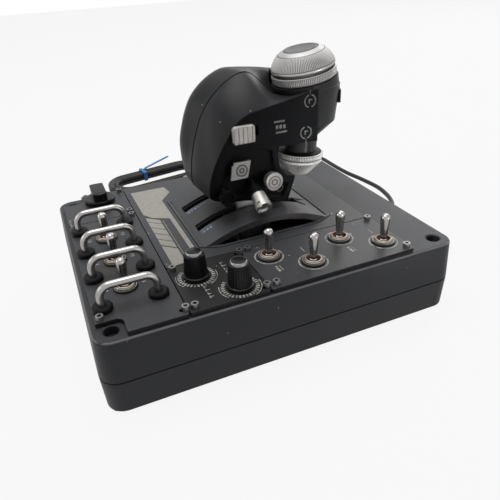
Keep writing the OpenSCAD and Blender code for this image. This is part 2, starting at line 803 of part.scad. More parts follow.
module bearings() {
    color("#b9bbbd") for (s = [-1, 1]) translate([arch_x, lever_y + s * bracket_y + bracket_t / 2, piv_z])
        rotate([90, 0, 0]) difference() {
            cylinder(d = bearing_d, h = bracket_t);
            translate([0, 0, -past]) cylinder(d = shaft_d + 2 * run_gap, h = bracket_t + 2 * past);
        }
}

module inner_screws() {
    color("#77787a") {
        each_at(board_posts, 0) {
            translate([0, 0, board_z + board_t]) cylinder(d = inner_head_d, h = 1.8);
            translate([0, 0, board_z - 4]) cylinder(d = screw_thread_d, h = 6);
        }
        bracket_feet() {
            translate([0, 0, bracket_foot_t]) cylinder(d = inner_head_d, h = 2);
            translate([0, 0, -2]) cylinder(d = screw_thread_d, h = bracket_foot_t + 3);
        }
    }
}

module main_board() {
    top = board_z + board_t;
    color("#1f5a34") difference() {
        translate([board_at[0], board_at[1], 0]) {
            hung([board_l, board_w, board_t], top);
            hung(chip, top + chip[2]);
            for (k = [-1, 1]) translate([k * header_x, 0, 0]) hung(header, top + header[2]);
        }
        each_at(board_posts, board_z - past) cylinder(d = screw_hole_d, h = board_t + 2 * past);
    }
}

// The board stands on the near upright's foot and faces the magnet on the shaft
module sensor_board() {
    y = lever_y - bracket_y - bracket_t / 2 - sensor_gap;
    foot = z_floor + bracket_foot_t;
    color("#1f5a34") {
        translate([arch_x - sensor_w / 2, y - board_t, foot]) cube([sensor_w, board_t, piv_z - foot + 8]);
        translate([arch_x - sensor_chip[0] / 2, y, piv_z - sensor_chip[2] / 2]) cube(sensor_chip);
    }
}

module pivot_shaft() {
    y0 = lever_y - bracket_y - bracket_t / 2;
    color("#c4c6c8") translate([arch_x, 0, piv_z]) rotate([-90, 0, 0])
        translate([0, 0, y0]) cylinder(d = shaft_d, h = 2 * bracket_y + bracket_t + 2);
}

module shaft_magnet() {
    y0 = lever_y - bracket_y - bracket_t / 2;
    color("#9a9da0") translate([arch_x, y0 - magnet_h, piv_z]) rotate([-90, 0, 0])
        cylinder(d = shaft_d - 1, h = magnet_h);
}

// Two lever arms on the shaft, up through the slots into the grip
module lever_arms() {
    top = grip_arm_top - grip_piv_z;
    color("#55585c") for (s = [-1, 1])
        translate([arch_x, lever_y + s * slot_pitch / 2 + arm_t / 2, piv_z]) rotate([90, 0, 0])
            linear_extrude(height = arm_t) difference() {
                union() {
                    circle(hub_r);
                    polygon([
                        [-hub_r, 0], [hub_r, 0], arm_waist, [arm_hx, top], [-arm_hx, top],
                        [-arm_waist[0], arm_waist[1]]
                    ]);
                }
                circle(d = shaft_d);
            }
}

module grip_block() {
    w = slot_pitch - arm_t;
    color("#3b3d40") translate([arch_x - arm_hx, lever_y - w / 2, zr + block_z]) difference() {
        cube([2 * arm_hx, w, grip_arm_top - block_z]);
        translate([arm_hx - block_slot[0] / 2, -past, 2]) cube([block_slot[0], w + 2 * past, block_slot[1]]);
    }
}

// Points of a smooth curve through given points, three steps between each two
function curve_point(p, i, t) =
    let (n = len(p) - 1, a = p[max(i - 1, 0)], b = p[i], c = p[min(i + 1, n)], d = p[min(i + 2, n)])
    0.5 * (2 * b + (c - a) * t + (2 * a - 5 * b + 4 * c - d) * t * t + (3 * b - a - 3 * c + d) * t * t * t);
function smooth(p) = concat(
    [for (i = [0:len(p) - 2], k = [0:2]) curve_point(p, i, k / 3)],
    [p[len(p) - 1]]
);
function section(hump, s) = concat(bottom_line, smooth(hump), right_mid + (right_side - right_mid) * s);
function shrink(p, share) = [for (q = p) grip_mid + (q - grip_mid) * (1 - share)];

// The same outline moved inward by a wall's thickness
function edge_normal(p, i) =
    let (n = len(p), a = p[(i + n) % n], b = p[(i + 1) % n], d = (b - a) / norm(b - a))
    [d[1], -d[0]];
function inset(p, t) = [
    for (i = [0:len(p) - 1])
        let (u = edge_normal(p, i - 1), v = edge_normal(p, i), w = (u + v) / norm(u + v))
        p[i] + w * t / max(0.6, w * u)
];

// The near half bulges from the middle plane down to the control face
function near_section(s) = section([
    for (i = [0:len(hump_mid) - 1]) hump_mid[i] + (hump_near[i] - hump_mid[i]) * pow(s, hump_power[i])
], s * s);
// The far half swells to its ridge and rounds off at its far side
function far_section(s) =
    let (t = min(s / far_ridge, 1), k = t * t * (3 - 2 * t), r = max(0, (s - far_ridge) / (1 - far_ridge)))
    shrink(section([
        for (i = [0:len(hump_mid) - 1]) hump_mid[i] + (hump_far[i] - hump_mid[i]) * k
    ], s * s), far_round * pow(r, 3));

// An end of the loft, in parts that each open out from one of their corners
waist = len(bottom_line) + 9;
turn = len(section(hump_mid, 0)) - len(right_mid);
loft_end = [
    concat([turn + 2], [for (i = [waist:turn + 1]) i]),
    [waist, turn + 2, turn + 3],
    [waist, turn + 3, turn + 4],
    concat([turn + 5, turn + 6], [for (i = [0:waist]) i], [turn + 4])
];
function flip(f) = [f[0], for (i = [len(f) - 1:-1:1]) f[i]];

// A closed solid through a row of sections, each at its own place along Y
module loft(sections, ys) {
    n = len(sections[0]);
    m = len(sections);
    polyhedron(
        points = [for (j = [0:m - 1], q = sections[j]) [q[0], ys[j], q[1]]],
        faces = concat(
            [for (f = loft_end) flip(f)],
            [for (f = loft_end) [for (i = f) (m - 1) * n + i]],
            [
                for (j = [0:m - 2], i = [0:n - 1])
                    let (k = (i + 1) % n, a = j * n, b = (j + 1) * n)
                    each [[a + k, b + i, a + i], [a + k, b + k, b + i]]
            ]
        )
    );
}

module near_solid(inner) {
    depth = lever_y - grip_near - (inner ? face_t : 0);
    start = lever_y + (inner ? past : 0);
    loft(
        [for (s = near_steps) inner ? inset(near_section(s), shell_t) : near_section(s)],
        [for (s = near_steps) s == 0 ? start : lever_y - depth * s]
    );
}

module far_solid(inner) {
    depth = grip_far - lever_y - (inner ? face_t : 0);
    start = lever_y - (inner ? past : 0);
    mirror([0, 1, 0]) loft(
        [for (s = far_steps) inner ? inset(far_section(s), shell_t) : far_section(s)],
        [for (s = far_steps) s == 0 ? -start : -lever_y - depth * s]
    );
}

module in_grip() {
    translate([arch_x - grip_lever_x, 0, zr]) children();
}

module on_axis(at, tilt) {
    translate(at) rotate([0, tilt, 0]) children();
}

// Everything of the nose that the shells make room for
module nose_solid() {
    on_axis(upper_axis, upper_tilt) translate([0, 0, -nose_cap_h]) cylinder(r = nose_r, h = nose_cap_h);
    intersection() {
        hull() {
            for (p = nose_rings) translate([nose_x + p[0], nose_y, p[1]]) cylinder(r = p[2], h = 1);
        }
        translate([nose_x, nose_y - 40, 50]) cube([40, 80, 60]);
        on_axis(upper_axis, upper_tilt) translate([-60, -60, -60]) cube([120, 120, 60]);
    }
    on_axis(lower_axis, lower_tilt) cylinder(r = neck_r, h = neck_h);
}

module knob_room() {
    on_axis(upper_axis, upper_tilt) translate([0, 0, -run_gap]) cylinder(r = nose_r + 0.9, h = 40);
}

module shell_cuts() {
    nose_solid();
    knob_room();
    for (s = [-1, 1])
        translate([grip_lever_x - arm_hx - past, lever_y + s * slot_pitch / 2 - arm_t / 2, 8])
            cube([2 * (arm_hx + past), arm_t, grip_arm_top - 8.5]);
}

module bolt_row(d, y0, y1) {
    for (p = grip_bolts)
        translate([p[0], y0, p[1]]) rotate([-90, 0, 0]) cylinder(d = d, h = y1 - y0);
}

module near_shell() {
    color("#26272a") in_grip() difference() {
        union() {
            difference() {
                near_solid(false);
                near_solid(true);
            }
            bolt_row(bolt_post_d, plate_face - past / 2, lever_y);
        }
        shell_cuts();
        bolt_row(screw_thread_d, plate_face + 4, lever_y + past);
        translate([0, plate_face + past, 0]) rotate([90, 0, 0])
            linear_extrude(height = face_t + 2 * past) polygon(window_line);
        slide_slot();
    }
}

module far_shell() {
    color("#26272a") in_grip() difference() {
        union() {
            difference() {
                far_solid(false);
                far_solid(true);
            }
            bolt_row(bolt_post_d, lever_y, grip_far - face_t + past / 2);
        }
        shell_cuts();
        bolt_row(screw_hole_d, lever_y - past, grip_far + past);
        bolt_row(bolt_head_d + screw_play / 2, grip_far - bolt_sink, grip_far + past);
    }
}

module grip_screws() {
    color("#3a3a3c") in_grip() difference() {
        union() {
            bolt_row(bolt_head_d, grip_far - bolt_sink, grip_far - bolt_sink + bolt_head_h);
            bolt_row(screw_thread_d, plate_face + 6, grip_far - past);
        }
        for (p = grip_bolts)
            translate([p[0], grip_far + past, p[1]]) rotate([90, 0, 0])
                cylinder(d = hex_d, h = hex_h + 0.8, $fn = 6);
    }
}

module plate_hole(at, d) {
    translate([at[0], plate_face - past, at[1]]) rotate([-90, 0, 0])
        cylinder(d = d, h = plate_thick + 2 * past);
}

module control_plate() {
    color("#151618") in_grip() difference() {
        translate([0, plate_face + plate_thick, 0]) rotate([90, 0, 0])
            linear_extrude(height = plate_thick) polygon(plate_line);
        plate_hole(hat_square_at, hat_hole_d);
        plate_hole(hat_black_at, hat_hole_d);
        plate_hole(push_at, push_stem_d + 2 * run_gap);
        translate([hat_castle_at[0], plate_face, hat_castle_at[1]]) rotate([90 + castle_droop, 0, 0])
            cylinder(d = hat_hole_d, h = 2 * hat_hole_d, center = true);
    }
}

module nose_housing() {
    shaft_room_d = knob_shaft_d + 2 * run_gap;
    button_room = [20, nose_button_size[1] + 2 * free_gap, nose_button_size[2] + 2 * free_gap];
    color("#232427") in_grip() difference() {
        nose_solid();
        on_axis(upper_axis, upper_tilt) translate([0, 0, -knob_shaft_in])
            cylinder(d = shaft_room_d, h = knob_shaft_in + past);
        on_axis(lower_axis, lower_tilt) translate([0, 0, -past])
            cylinder(d = shaft_room_d, h = knob_shaft_in);
        translate([nose_x + nose_pocket_at[0], nose_y - nose_pocket[1] / 2, nose_pocket_at[1]])
            cube(nose_pocket);
        nose_button_place() cube(button_room, center = true);
    }
}

module nose_button_place() {
    translate([nose_x + 22.4, nose_y - 10, 84]) rotate([0, 0, -26]) children();
}

module nose_button() {
    color("#1a1b1d") in_grip() nose_button_place() {
        translate([-7, -nose_button_size[1] / 2, -nose_button_size[2] / 2]) cube(nose_button_size);
    }
}

// Heights above the nose and radii of the knob's turned steps, from its foot to its rim
module upper_knob() {
    r = upper_knob_d / 2;
    rim_r = button_d / 2 + 4;
    steps = [
        [r - 0.5, 0], [r, 0.6], [r, knob_ring_h], [r - knob_groove, knob_ring_h],
        [r - knob_groove, knob_cone_z], [r, knob_cone_z], [r, knob_cone_z + 0.8],
        [r - 2.1, knob_cone_z + 5.6], [rim_r, knob_top_z - 1.8], [button_d / 2 + 1, knob_top_z]
    ];
    color("#d8d6d2") in_grip() on_axis(upper_axis, upper_tilt) difference() {
        union() {
            translate([0, 0, free_gap])
                rotate_extrude() polygon(concat([[0, 0]], steps, [[0, knob_top_z]]));
            translate([0, 0, -8]) cylinder(d = knob_shaft_d, h = 9);
        }
        translate([0, 0, free_gap + knob_top_z - 5]) cylinder(r = button_d / 2 + free_gap, h = 10);
        translate([0, 0, free_gap + knob_top_z - 13])
            cylinder(d = button_stem_d + 2 * run_gap, h = 10);
    }
}

module knob_button() {
    color("#8d8f91") in_grip() on_axis(upper_axis, upper_tilt) {
        translate([0, 0, free_gap + knob_top_z - 2.4]) cylinder(r = button_d / 2, h = button_h);
        translate([0, 0, free_gap + knob_top_z - 11]) cylinder(d = button_stem_d, h = 9);
    }
}

module lower_knob() {
    r = lower_knob_d / 2;
    color("#d8d6d2") in_grip() on_axis(lower_axis, lower_tilt) mirror([0, 0, 1]) {
        translate([0, 0, free_gap]) cylinder(r = r, h = 3.4);
        translate([0, 0, free_gap + 3]) cylinder(r = r - 2, h = 2.4);
        translate([0, 0, free_gap + 5]) cylinder(r = r - 0.4, h = 1.4);
        translate([0, 0, free_gap + 6.4]) cylinder(r1 = r - 0.4, r2 = 8, h = 11);
        translate([0, 0, -8]) cylinder(d = knob_shaft_d, h = 9);
    }
}

// Slot in the control face for the sliding switch's neck
module slide_slot() {
    corner = slide_at - slide_neck / 2 - [free_gap, free_gap];
    translate([corner[0], grip_near - past, corner[1]])
        cube([slide_neck[0] + slide_run + 2 * free_gap, 10, slide_neck[1] + 2 * free_gap]);
}

module slide_switch() {
    color("#cfc9c2") in_grip() translate([slide_at[0], grip_near, slide_at[1]]) {
        translate([0, -free_gap, 0]) rotate([90, 0, 0])
            linear_extrude(height = slide_t) rounded(slide_l, slide_h, slide_r);
        translate([-slide_neck[0] / 2, -past, -slide_neck[1] / 2]) cube([slide_neck[0], 8, slide_neck[1]]);
    }
}

// A place on the control plate, its third axis pointing out of the grip
module on_plate(at, droop = 0) {
    in_grip() translate([at[0], plate_face, at[1]]) rotate([90 + droop, 0, 0]) children();
}

module hat_stem(l) {
    translate([0, 0, -4]) cylinder(d = hat_stem_d, h = l + 4);
}

module gimbal_ring() {
    translate([0, 0, -2.1]) difference() {
        cylinder(d = hat_hole_d - 2 * free_gap, h = 1.6);
        translate([0, 0, -1]) cylinder(d = hat_stem_d + 2 * free_gap, h = 4);
    }
}

module square_hat() {
    color("#b9b6b0") on_plate(hat_square_at) {
        hat_stem(4);
        translate([0, 0, 3.8]) cylinder(d = 8, h = 1);
        translate([0, 0, 4.4]) linear_extrude(height = 2.4)
            polygon([[-7.6, -6.2], [5.2, -6.2], [8, 6.2], [-4.6, 6.2], [-5, 4], [-6, 4]]);
    }
}

module square_gimbal() {
    color("#9a8a5c") on_plate(hat_square_at) gimbal_ring();
}

module push_knob() {
    color("#cdcac4") on_plate(push_at) {
        translate([0, 0, -3]) cylinder(d = push_stem_d, h = 6);
        translate([0, 0, 2.7]) cylinder(d = 9.4, h = 2);
        translate([0, 0, 4.6]) cylinder(d1 = 11, d2 = 12, h = 4.4);
        translate([0, 0, 9]) cylinder(d = 13.4, h = 1.8);
        translate([0, 0, 10.8]) cylinder(d1 = 13.4, d2 = 12, h = 0.6);
    }
}

// A round cap with four cuts across its end and a dished middle, on a tapering neck
module castle_cap(d, start, neck, h) {
    top = start + neck + h;
    difference() {
        union() {
            translate([0, 0, start]) cylinder(d1 = d - 4, d2 = d - 1.6, h = neck);
            translate([0, 0, start + neck]) cylinder(d1 = d - 1.6, d2 = d, h = h);
        }
        translate([0, 0, top - 1.4]) cylinder(d1 = d - 5, d2 = d - 3, h = 2);
        for (k = [0:3])
            rotate([0, 0, 45 + 90 * k]) translate([d / 2 - 1.6, -1.1, top - 4]) cube([4, 2.2, 8]);
    }
}

module castle_hat() {
    color("#cfccc6") on_plate(hat_castle_at, castle_droop) {
        hat_stem(9);
        castle_cap(11.6, 8, 8, 11.5);
    }
}

module castle_gimbal() {
    color("#9a8a5c") on_plate(hat_castle_at, castle_droop) gimbal_ring();
}

module black_hat() {
    color("#1b1c1e") on_plate(hat_black_at) {
        hat_stem(5);
        castle_cap(11.4, 4.6, 3, 5.4);
    }
}

module black_gimbal() {
    color("#9a8a5c") on_plate(hat_black_at) gimbal_ring();
}

module cord_gland() {
    color("#121213") translate([case_l / 2, gland_y, gland_z]) rotate([0, 90, 0]) difference() {
        union() {
            translate([0, 0, -wall]) cylinder(d = gland_d, h = wall + gland_flange_t);
            translate([0, 0, gland_out]) cylinder(d = gland_flange_d, h = gland_flange_t);
            translate([0, 0, gland_flange_t])
                cylinder(d1 = gland_d, d2 = gland_tip_d, h = gland_l - gland_flange_t);
        }
        translate([0, 0, -wall - past]) cylinder(d = cord_d, h = gland_l + wall + 2 * past);
    }
}

// A tube swept along the route: a ring of points across each stretch
function unit(v) = v / norm(v);
function along(r, i) = unit(r[min(i + 1, len(r) - 1)] - r[max(i - 1, 0)]);
function ring(r, i, d, n) =
    let (t = along(r, i), u = unit(cross(t, [0, 0, 1])), v = cross(u, t))
    [for (k = [0:n - 1]) r[i] + (u * cos(360 * k / n) + v * sin(360 * k / n)) * d / 2];

module tube(route, d, n) {
    m = len(route);
    polyhedron(
        points = [for (i = [0:m - 1]) each ring(route, i, d, n)],
        faces = concat(
            [[for (k = [n - 1:-1:0]) k]],
            [[for (k = [0:n - 1]) (m - 1) * n + k]],
            [
                for (i = [0:m - 2], k = [0:n - 1])
                    let (l = (k + 1) % n, a = i * n, b = (i + 1) * n)
                    each [[a + k, a + l, b + l], [a + k, b + l, b + k]]
            ]
        )
    );
}

module usb_cord() {
    color("#17181a") tube(cord_route, cord_d, 10);
}

// The spare length is gathered in a hank behind the case
module in_hank() {
    translate([hank_at[0], hank_at[1], 0]) rotate([0, 0, hank_turn]) children();
}

module cord_coil() {
    color("#17181a") in_hank() linear_extrude(height = hank_h) difference() {
        rounded(hank_l, hank_w, hank_w / 2 - fit_gap / 2);
        rounded(hank_l - 2 * hank_bundle, hank_w - 2 * hank_bundle, hank_w / 2 - hank_bundle - fit_gap / 2);
    }
}

// A band around the far run of the hank, with its long tail lying over the floor
module cord_tie() {
    inner = hank_w / 2 - hank_bundle;
    tail = [
        [0, hank_h], [8, hank_h], [tail_l - 2, 0.2], [tail_l, 0.2], [tail_l, 1.2], [8.2, hank_h + 1],
        [0, hank_h + 1]
    ];
    color("#2f7fc4") in_hank() {
        translate([tie_along, inner - tie_t, 0]) difference() {
            cube([tie_w, hank_bundle + 2 * tie_t, hank_h + tie_t]);
            translate([-past, tie_t, -past]) cube([tie_w + 2 * past, hank_bundle, hank_h + past]);
        }
        translate([tie_along + tie_w, hank_w / 2 - 4, 0]) rotate([0, 0, tail_turn]) rotate([90, 0, 90])
            linear_extrude(height = tail_w, center = true) polygon(tail);
    }
}

module usb_plug() {
    color("#b8b2a4") in_hank() translate([plug_along, -hank_w / 2 - plug_box[1], 0]) {
        cube(plug_box);
        translate([plug_box[0], (plug_box[1] - plug_shell[1]) / 2, (plug_box[2] - plug_shell[2]) / 2])
            cube(plug_shell);
    }
}

lower_case();
rubber_feet();
upper_case();
case_screws();
guard_panel();
selector_panel();
knob_panel();
toggle_panel();
centre_panel();
arch_cover();
slot_seals();
guard_loops();
guard_collars();
panel_screws();
toggle_bodies();
toggle_nuts();
encoder_bodies();
selector_body();
pivot_brackets();
bearings();
inner_screws();
sensor_board();
main_board();
cord_gland();
usb_cord();
cord_coil();
cord_tie();
usb_plug();
toggle_lever(guard_toggles[0]);  // guard_toggle_1
toggle_lever(guard_toggles[1]);  // guard_toggle_2
toggle_lever(guard_toggles[2]);  // guard_toggle_3
toggle_lever(row_toggles[0]);  // row_toggle_1
toggle_lever(row_toggles[1]);  // row_toggle_2
toggle_lever(row_toggles[2]);  // row_toggle_3
toggle_lever(row_toggles[3]);  // row_toggle_4
rotary_knob(knob_points[0]);  // rotary_knob_1
rotary_knob(knob_points[1]);  // rotary_knob_2
selector_knob();
pivot_shaft();
shaft_magnet();
lever_arms();
grip_block();
far_shell();
near_shell();
control_plate();
nose_housing();
grip_screws();
upper_knob();
knob_button();
lower_knob();
slide_switch();
square_hat();
square_gimbal();
push_knob();
castle_hat();
castle_gimbal();
black_hat();
black_gimbal();
nose_button();
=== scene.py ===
import json
from math import cos, pi, radians, sin

import bmesh
import bpy
from mathutils import Matrix, Vector

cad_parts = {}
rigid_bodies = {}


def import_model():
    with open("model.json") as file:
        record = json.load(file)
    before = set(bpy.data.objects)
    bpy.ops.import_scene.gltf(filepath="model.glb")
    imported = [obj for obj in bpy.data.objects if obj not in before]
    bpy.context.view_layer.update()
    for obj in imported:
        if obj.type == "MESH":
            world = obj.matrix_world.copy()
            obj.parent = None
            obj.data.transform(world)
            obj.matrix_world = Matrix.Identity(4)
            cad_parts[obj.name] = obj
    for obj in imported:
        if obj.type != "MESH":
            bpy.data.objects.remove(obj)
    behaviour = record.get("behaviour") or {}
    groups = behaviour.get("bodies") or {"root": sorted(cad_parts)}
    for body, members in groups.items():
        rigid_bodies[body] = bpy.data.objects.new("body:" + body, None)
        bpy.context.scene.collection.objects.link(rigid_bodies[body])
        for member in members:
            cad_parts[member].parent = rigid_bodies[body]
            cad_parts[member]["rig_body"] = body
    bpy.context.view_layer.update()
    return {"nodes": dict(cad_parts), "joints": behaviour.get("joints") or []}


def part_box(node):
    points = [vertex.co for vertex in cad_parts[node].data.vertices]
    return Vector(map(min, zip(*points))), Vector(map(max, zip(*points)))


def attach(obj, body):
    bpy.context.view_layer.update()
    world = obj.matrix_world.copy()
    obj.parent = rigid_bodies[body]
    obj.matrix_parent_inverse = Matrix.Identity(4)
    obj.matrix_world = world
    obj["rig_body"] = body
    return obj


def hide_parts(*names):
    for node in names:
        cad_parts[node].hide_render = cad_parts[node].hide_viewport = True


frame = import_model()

# The table and the view
# A white table top under soft studio light, seen from above the near left corner,
# as someone sitting to the left of the unit would see it.
MM = 0.001
TABLE_SIZE = 6.0
TABLE_BOUNCE = 0.4
TABLE_GLOW = 0.9
ROOM_LIGHT = 0.16
VIEW_AZIMUTH = radians(-21.946)
VIEW_ELEVATION = radians(30.532)
VIEW_ROLL = radians(-2.981)
VIEW_PLACE = Vector((-119.339, -321.660, 227.911)) * MM
VIEW_LENS = 36.015


def material_nodes(name):
    material = bpy.data.materials.new(name)
    material.use_nodes = True
    tree = material.node_tree
    return material, tree, tree.nodes["Principled BSDF"]


def node(tree, kind, **values):
    made = tree.nodes.new(kind)
    for key, value in values.items():
        if hasattr(made, key):
            setattr(made, key, value)
        else:
            made.inputs[key.replace("_", " ").title()].default_value = value
    return made


def wire(tree, pairs):
    """Links each pair of sockets of a node tree."""
    for source, target in pairs:
        tree.links.new(source, target)


def show(name, mesh):
    piece = bpy.data.objects.new(name, mesh)
    bpy.context.scene.collection.objects.link(piece)
    return piece


def view_axes():
    flat = cos(VIEW_ELEVATION)
    back = Vector((sin(VIEW_AZIMUTH) * flat, -cos(VIEW_AZIMUTH) * flat, sin(VIEW_ELEVATION)))
    level = Vector((cos(VIEW_AZIMUTH), sin(VIEW_AZIMUTH), 0))
    upright = back.cross(level)
    right = cos(VIEW_ROLL) * level + sin(VIEW_ROLL) * upright
    up = cos(VIEW_ROLL) * upright - sin(VIEW_ROLL) * level
    return Matrix((right, up, back)).transposed()


eye = bpy.data.cameras.new("eye")
eye.sensor_width = 36
eye.lens = VIEW_LENS
eye.clip_start = 0.01
viewer = show("viewer", eye)
viewer.matrix_world = Matrix.Translation(VIEW_PLACE) @ view_axes().to_4x4()
bpy.context.scene.camera = viewer
bpy.context.scene.view_settings.view_transform = "Standard"


def background_rays(tree):
    """One for the rays that show the white background: from the eye, off metal and through glass."""
    path = node(tree, "ShaderNodeLightPath")
    seen = path.outputs["Is Camera Ray"]
    for kind in ("Is Glossy Ray", "Is Transmission Ray"):
        either = node(tree, "ShaderNodeMath", operation="MAXIMUM")
        tree.links.new(seen, either.inputs[0])
        tree.links.new(path.outputs[kind], either.inputs[1])
        seen = either.outputs[0]
    return seen


def table_white():
    """Pale to the eye, and a middle grey to the light that bounces off it."""
    material, tree, shader = material_nodes("table_white")
    shader.inputs["Roughness"].default_value = 0.8
    spots = node(tree, "ShaderNodeTexNoise", Scale=6.0, Detail=2.0)
    tone = node(tree, "ShaderNodeMapRange")
    tone.inputs["To Min"].default_value = TABLE_BOUNCE * 0.97
    tone.inputs["To Max"].default_value = TABLE_BOUNCE * 1.03
    wire(tree, [
        (node(tree, "ShaderNodeTexCoord").outputs["Object"], spots.inputs["Vector"]),
        (spots.outputs["Fac"], tone.inputs["Value"]),
        (tone.outputs["Result"], shader.inputs["Base Color"]),
    ])
    glow = node(tree, "ShaderNodeEmission", Strength=1.0)
    blend = node(tree, "ShaderNodeMixShader")
    share = node(tree, "ShaderNodeMath", operation="MULTIPLY")
    share.inputs[1].default_value = TABLE_GLOW
    wire(tree, [
        (background_rays(tree), share.inputs[0]),
        (share.outputs[0], blend.inputs["Fac"]),
        (shader.outputs[0], blend.inputs[1]),
        (glow.outputs[0], blend.inputs[2]),
        (blend.outputs[0], tree.nodes["Material Output"].inputs["Surface"]),
    ])
    return material


top = bpy.data.meshes.new("table")
half = TABLE_SIZE / 2
top.from_pydata([(-half, -half, 0), (half, -half, 0), (half, half, 0), (-half, half, 0)], [], [(0, 1, 2, 3)])
top.materials.append(table_white())
show("table", top)

room = bpy.data.worlds.new("room")
bpy.context.scene.world = room
room.use_nodes = True
sky = room.node_tree.nodes["Background"]
sky.inputs["Color"].default_value = (1, 1, 1, 1)
room_level = node(room.node_tree, "ShaderNodeMapRange")
room_level.inputs["To Min"].default_value = ROOM_LIGHT
room_level.inputs["To Max"].default_value = 1.0
room.node_tree.links.new(background_rays(room.node_tree), room_level.inputs["Value"])
room.node_tree.links.new(room_level.outputs["Result"], sky.inputs["Strength"])


def softbox(name, place, aim, size, power, spread=180):
    lamp = bpy.data.lights.new(name, "AREA")
    lamp.shape = "DISK"
    lamp.size = size
    lamp.energy = power
    lamp.spread = radians(spread)
    light = show(name, lamp)
    light.location = place
    light.rotation_mode = "QUATERNION"
    light.rotation_quaternion = (Vector(aim) - Vector(place)).to_track_quat("-Z", "Y")


softbox("window_light", (1.5, 1.1, 1.15), (0.05, 0, 0.05), 1.4, 15)
softbox("ceiling_light", (-0.1, 0.15, 1.5), (0, 0, 0.05), 1.2, 17)
softbox("side_light", (-1.3, 0.4, 0.6), (0, 0, 0.1), 0.6, 3)
softbox("front_light", (0.7, -1.3, 0.25), (0.08, 0, 0.09), 0.8, 2.5)
softbox("knob_light", (0.3, -0.9, 0.2), (0.06, 0, 0.088), 0.06, 0.022, 9)

# The cord
# A black jacketed lead of about 1.8 m leaves the case's right end through a moulded gland,
# lies on the table round the case, and is folded in a hank behind it.
CORD_D = 4.5
CORD_ROUTE = [
    (0.144, 0.026, 0.011), (0.151, 0.026, 0.0098), (0.158, 0.027, 0.0068), (0.165, 0.030, 0.0038),
    (0.173, 0.035, 0.0025), (0.182, 0.042, 0.0023), (0.190, 0.051, 0.0023), (0.196, 0.063, 0.0023),
    (0.200, 0.077, 0.0023), (0.202, 0.092, 0.0023), (0.201, 0.108, 0.0023), (0.199, 0.124, 0.0023),
    (0.196, 0.142, 0.0023), (0.195, 0.160, 0.0023), (0.195, 0.178, 0.0023), (0.195, 0.196, 0.0023),
    (0.192, 0.214, 0.0023), (0.185, 0.230, 0.0023), (0.174, 0.244, 0.0023), (0.159, 0.255, 0.0023),
    (0.141, 0.262, 0.0023), (0.122, 0.266, 0.0023), (0.101, 0.2674, 0.0023), (0.081, 0.2682, 0.0023),
    (0.063, 0.2688, 0.0023), (0.047, 0.2692, 0.0023), (0.0334, 0.2678, 0.0023), (0.0216, 0.2657, 0.0023),
]
HANK_PLACE = Matrix.Translation((-0.008, 0.2375, 0)) @ Matrix.Rotation(radians(10), 4, "Z")
HANK_RUN = 68
HANK_LAY = 4.55
HANK_OUTER = 22.65
HANK_LOW = 2.3
PLUG_REAR = (22, -33, 4)
SPECK_CELLS = 210.0
SPECK_R = 0.085
GRAIN_SCALE = 2600.0
GRAIN_DEPTH = 0.12 * MM


def smooth_line(points, steps):
    line = []
    last = len(points) - 1
    for i in range(last):
        a, b, c, d = (Vector(points[min(max(i + k, 0), last)]) for k in (-1, 0, 1, 2))
        for t in (k / steps for k in range(steps)):
            bend = (2 * a - 5 * b + 4 * c - d) * t + (3 * b - a - 3 * c + d) * t * t
            line.append((2 * b + (c - a + bend) * t) / 2)
    return line + [Vector(points[-1])]


def ease(t):
    return (1 - cos(pi * t)) / 2


def hank_turn(far, near, height, next_far, next_height):
    """One turn of the hank: the far run, the left fold, the near run and the right fold."""
    turn = [(HANK_RUN * (0.5 - k / 8), far, height) for k in range(1, 9)]
    for t in (k / 16 for k in range(1, 17)):
        r = far + (near - far) * ease(t)
        turn.append((-HANK_RUN / 2 - r * sin(pi * t), r * cos(pi * t), height))
    turn += [(HANK_RUN * (k / 8 - 0.5), -near, height) for k in range(1, 9)]
    for t in (k / 16 for k in range(1, 17)):
        r = near + (next_far - near) * ease(t)
        z = height + (next_height - height) * ease(t)
        turn.append((HANK_RUN / 2 + r * sin(pi * t), -r * cos(pi * t), z))
    return turn


def hank_line():
    lane = [HANK_OUTER - k * HANK_LAY for k in range(3)]
    high = HANK_LOW + HANK_LAY
    line = hank_turn(lane[0], lane[0], HANK_LOW, lane[1], HANK_LOW)
    line += hank_turn(lane[1], lane[1], HANK_LOW, lane[2], HANK_LOW)
    line += hank_turn(lane[2], lane[2], HANK_LOW, lane[2], high)
    line += hank_turn(lane[2], lane[1], high, lane[1], high)
    line += hank_turn(lane[1], lane[0], high, lane[0], high)
    line += hank_turn(lane[0], lane[0], high, lane[0], high)[:24]
    start_x, start_y, start_z = line[-1]
    for t in (k / 16 for k in range(1, 17)):
        fall = ease(max(0, 2 * t - 1))
        line.append((
            start_x + (PLUG_REAR[0] - start_x) * t,
            start_y + (PLUG_REAR[1] - start_y) * ease(t),
            start_z + (PLUG_REAR[2] - start_z) * fall,
        ))
    return [HANK_PLACE @ (Vector(p) * MM) for p in line]


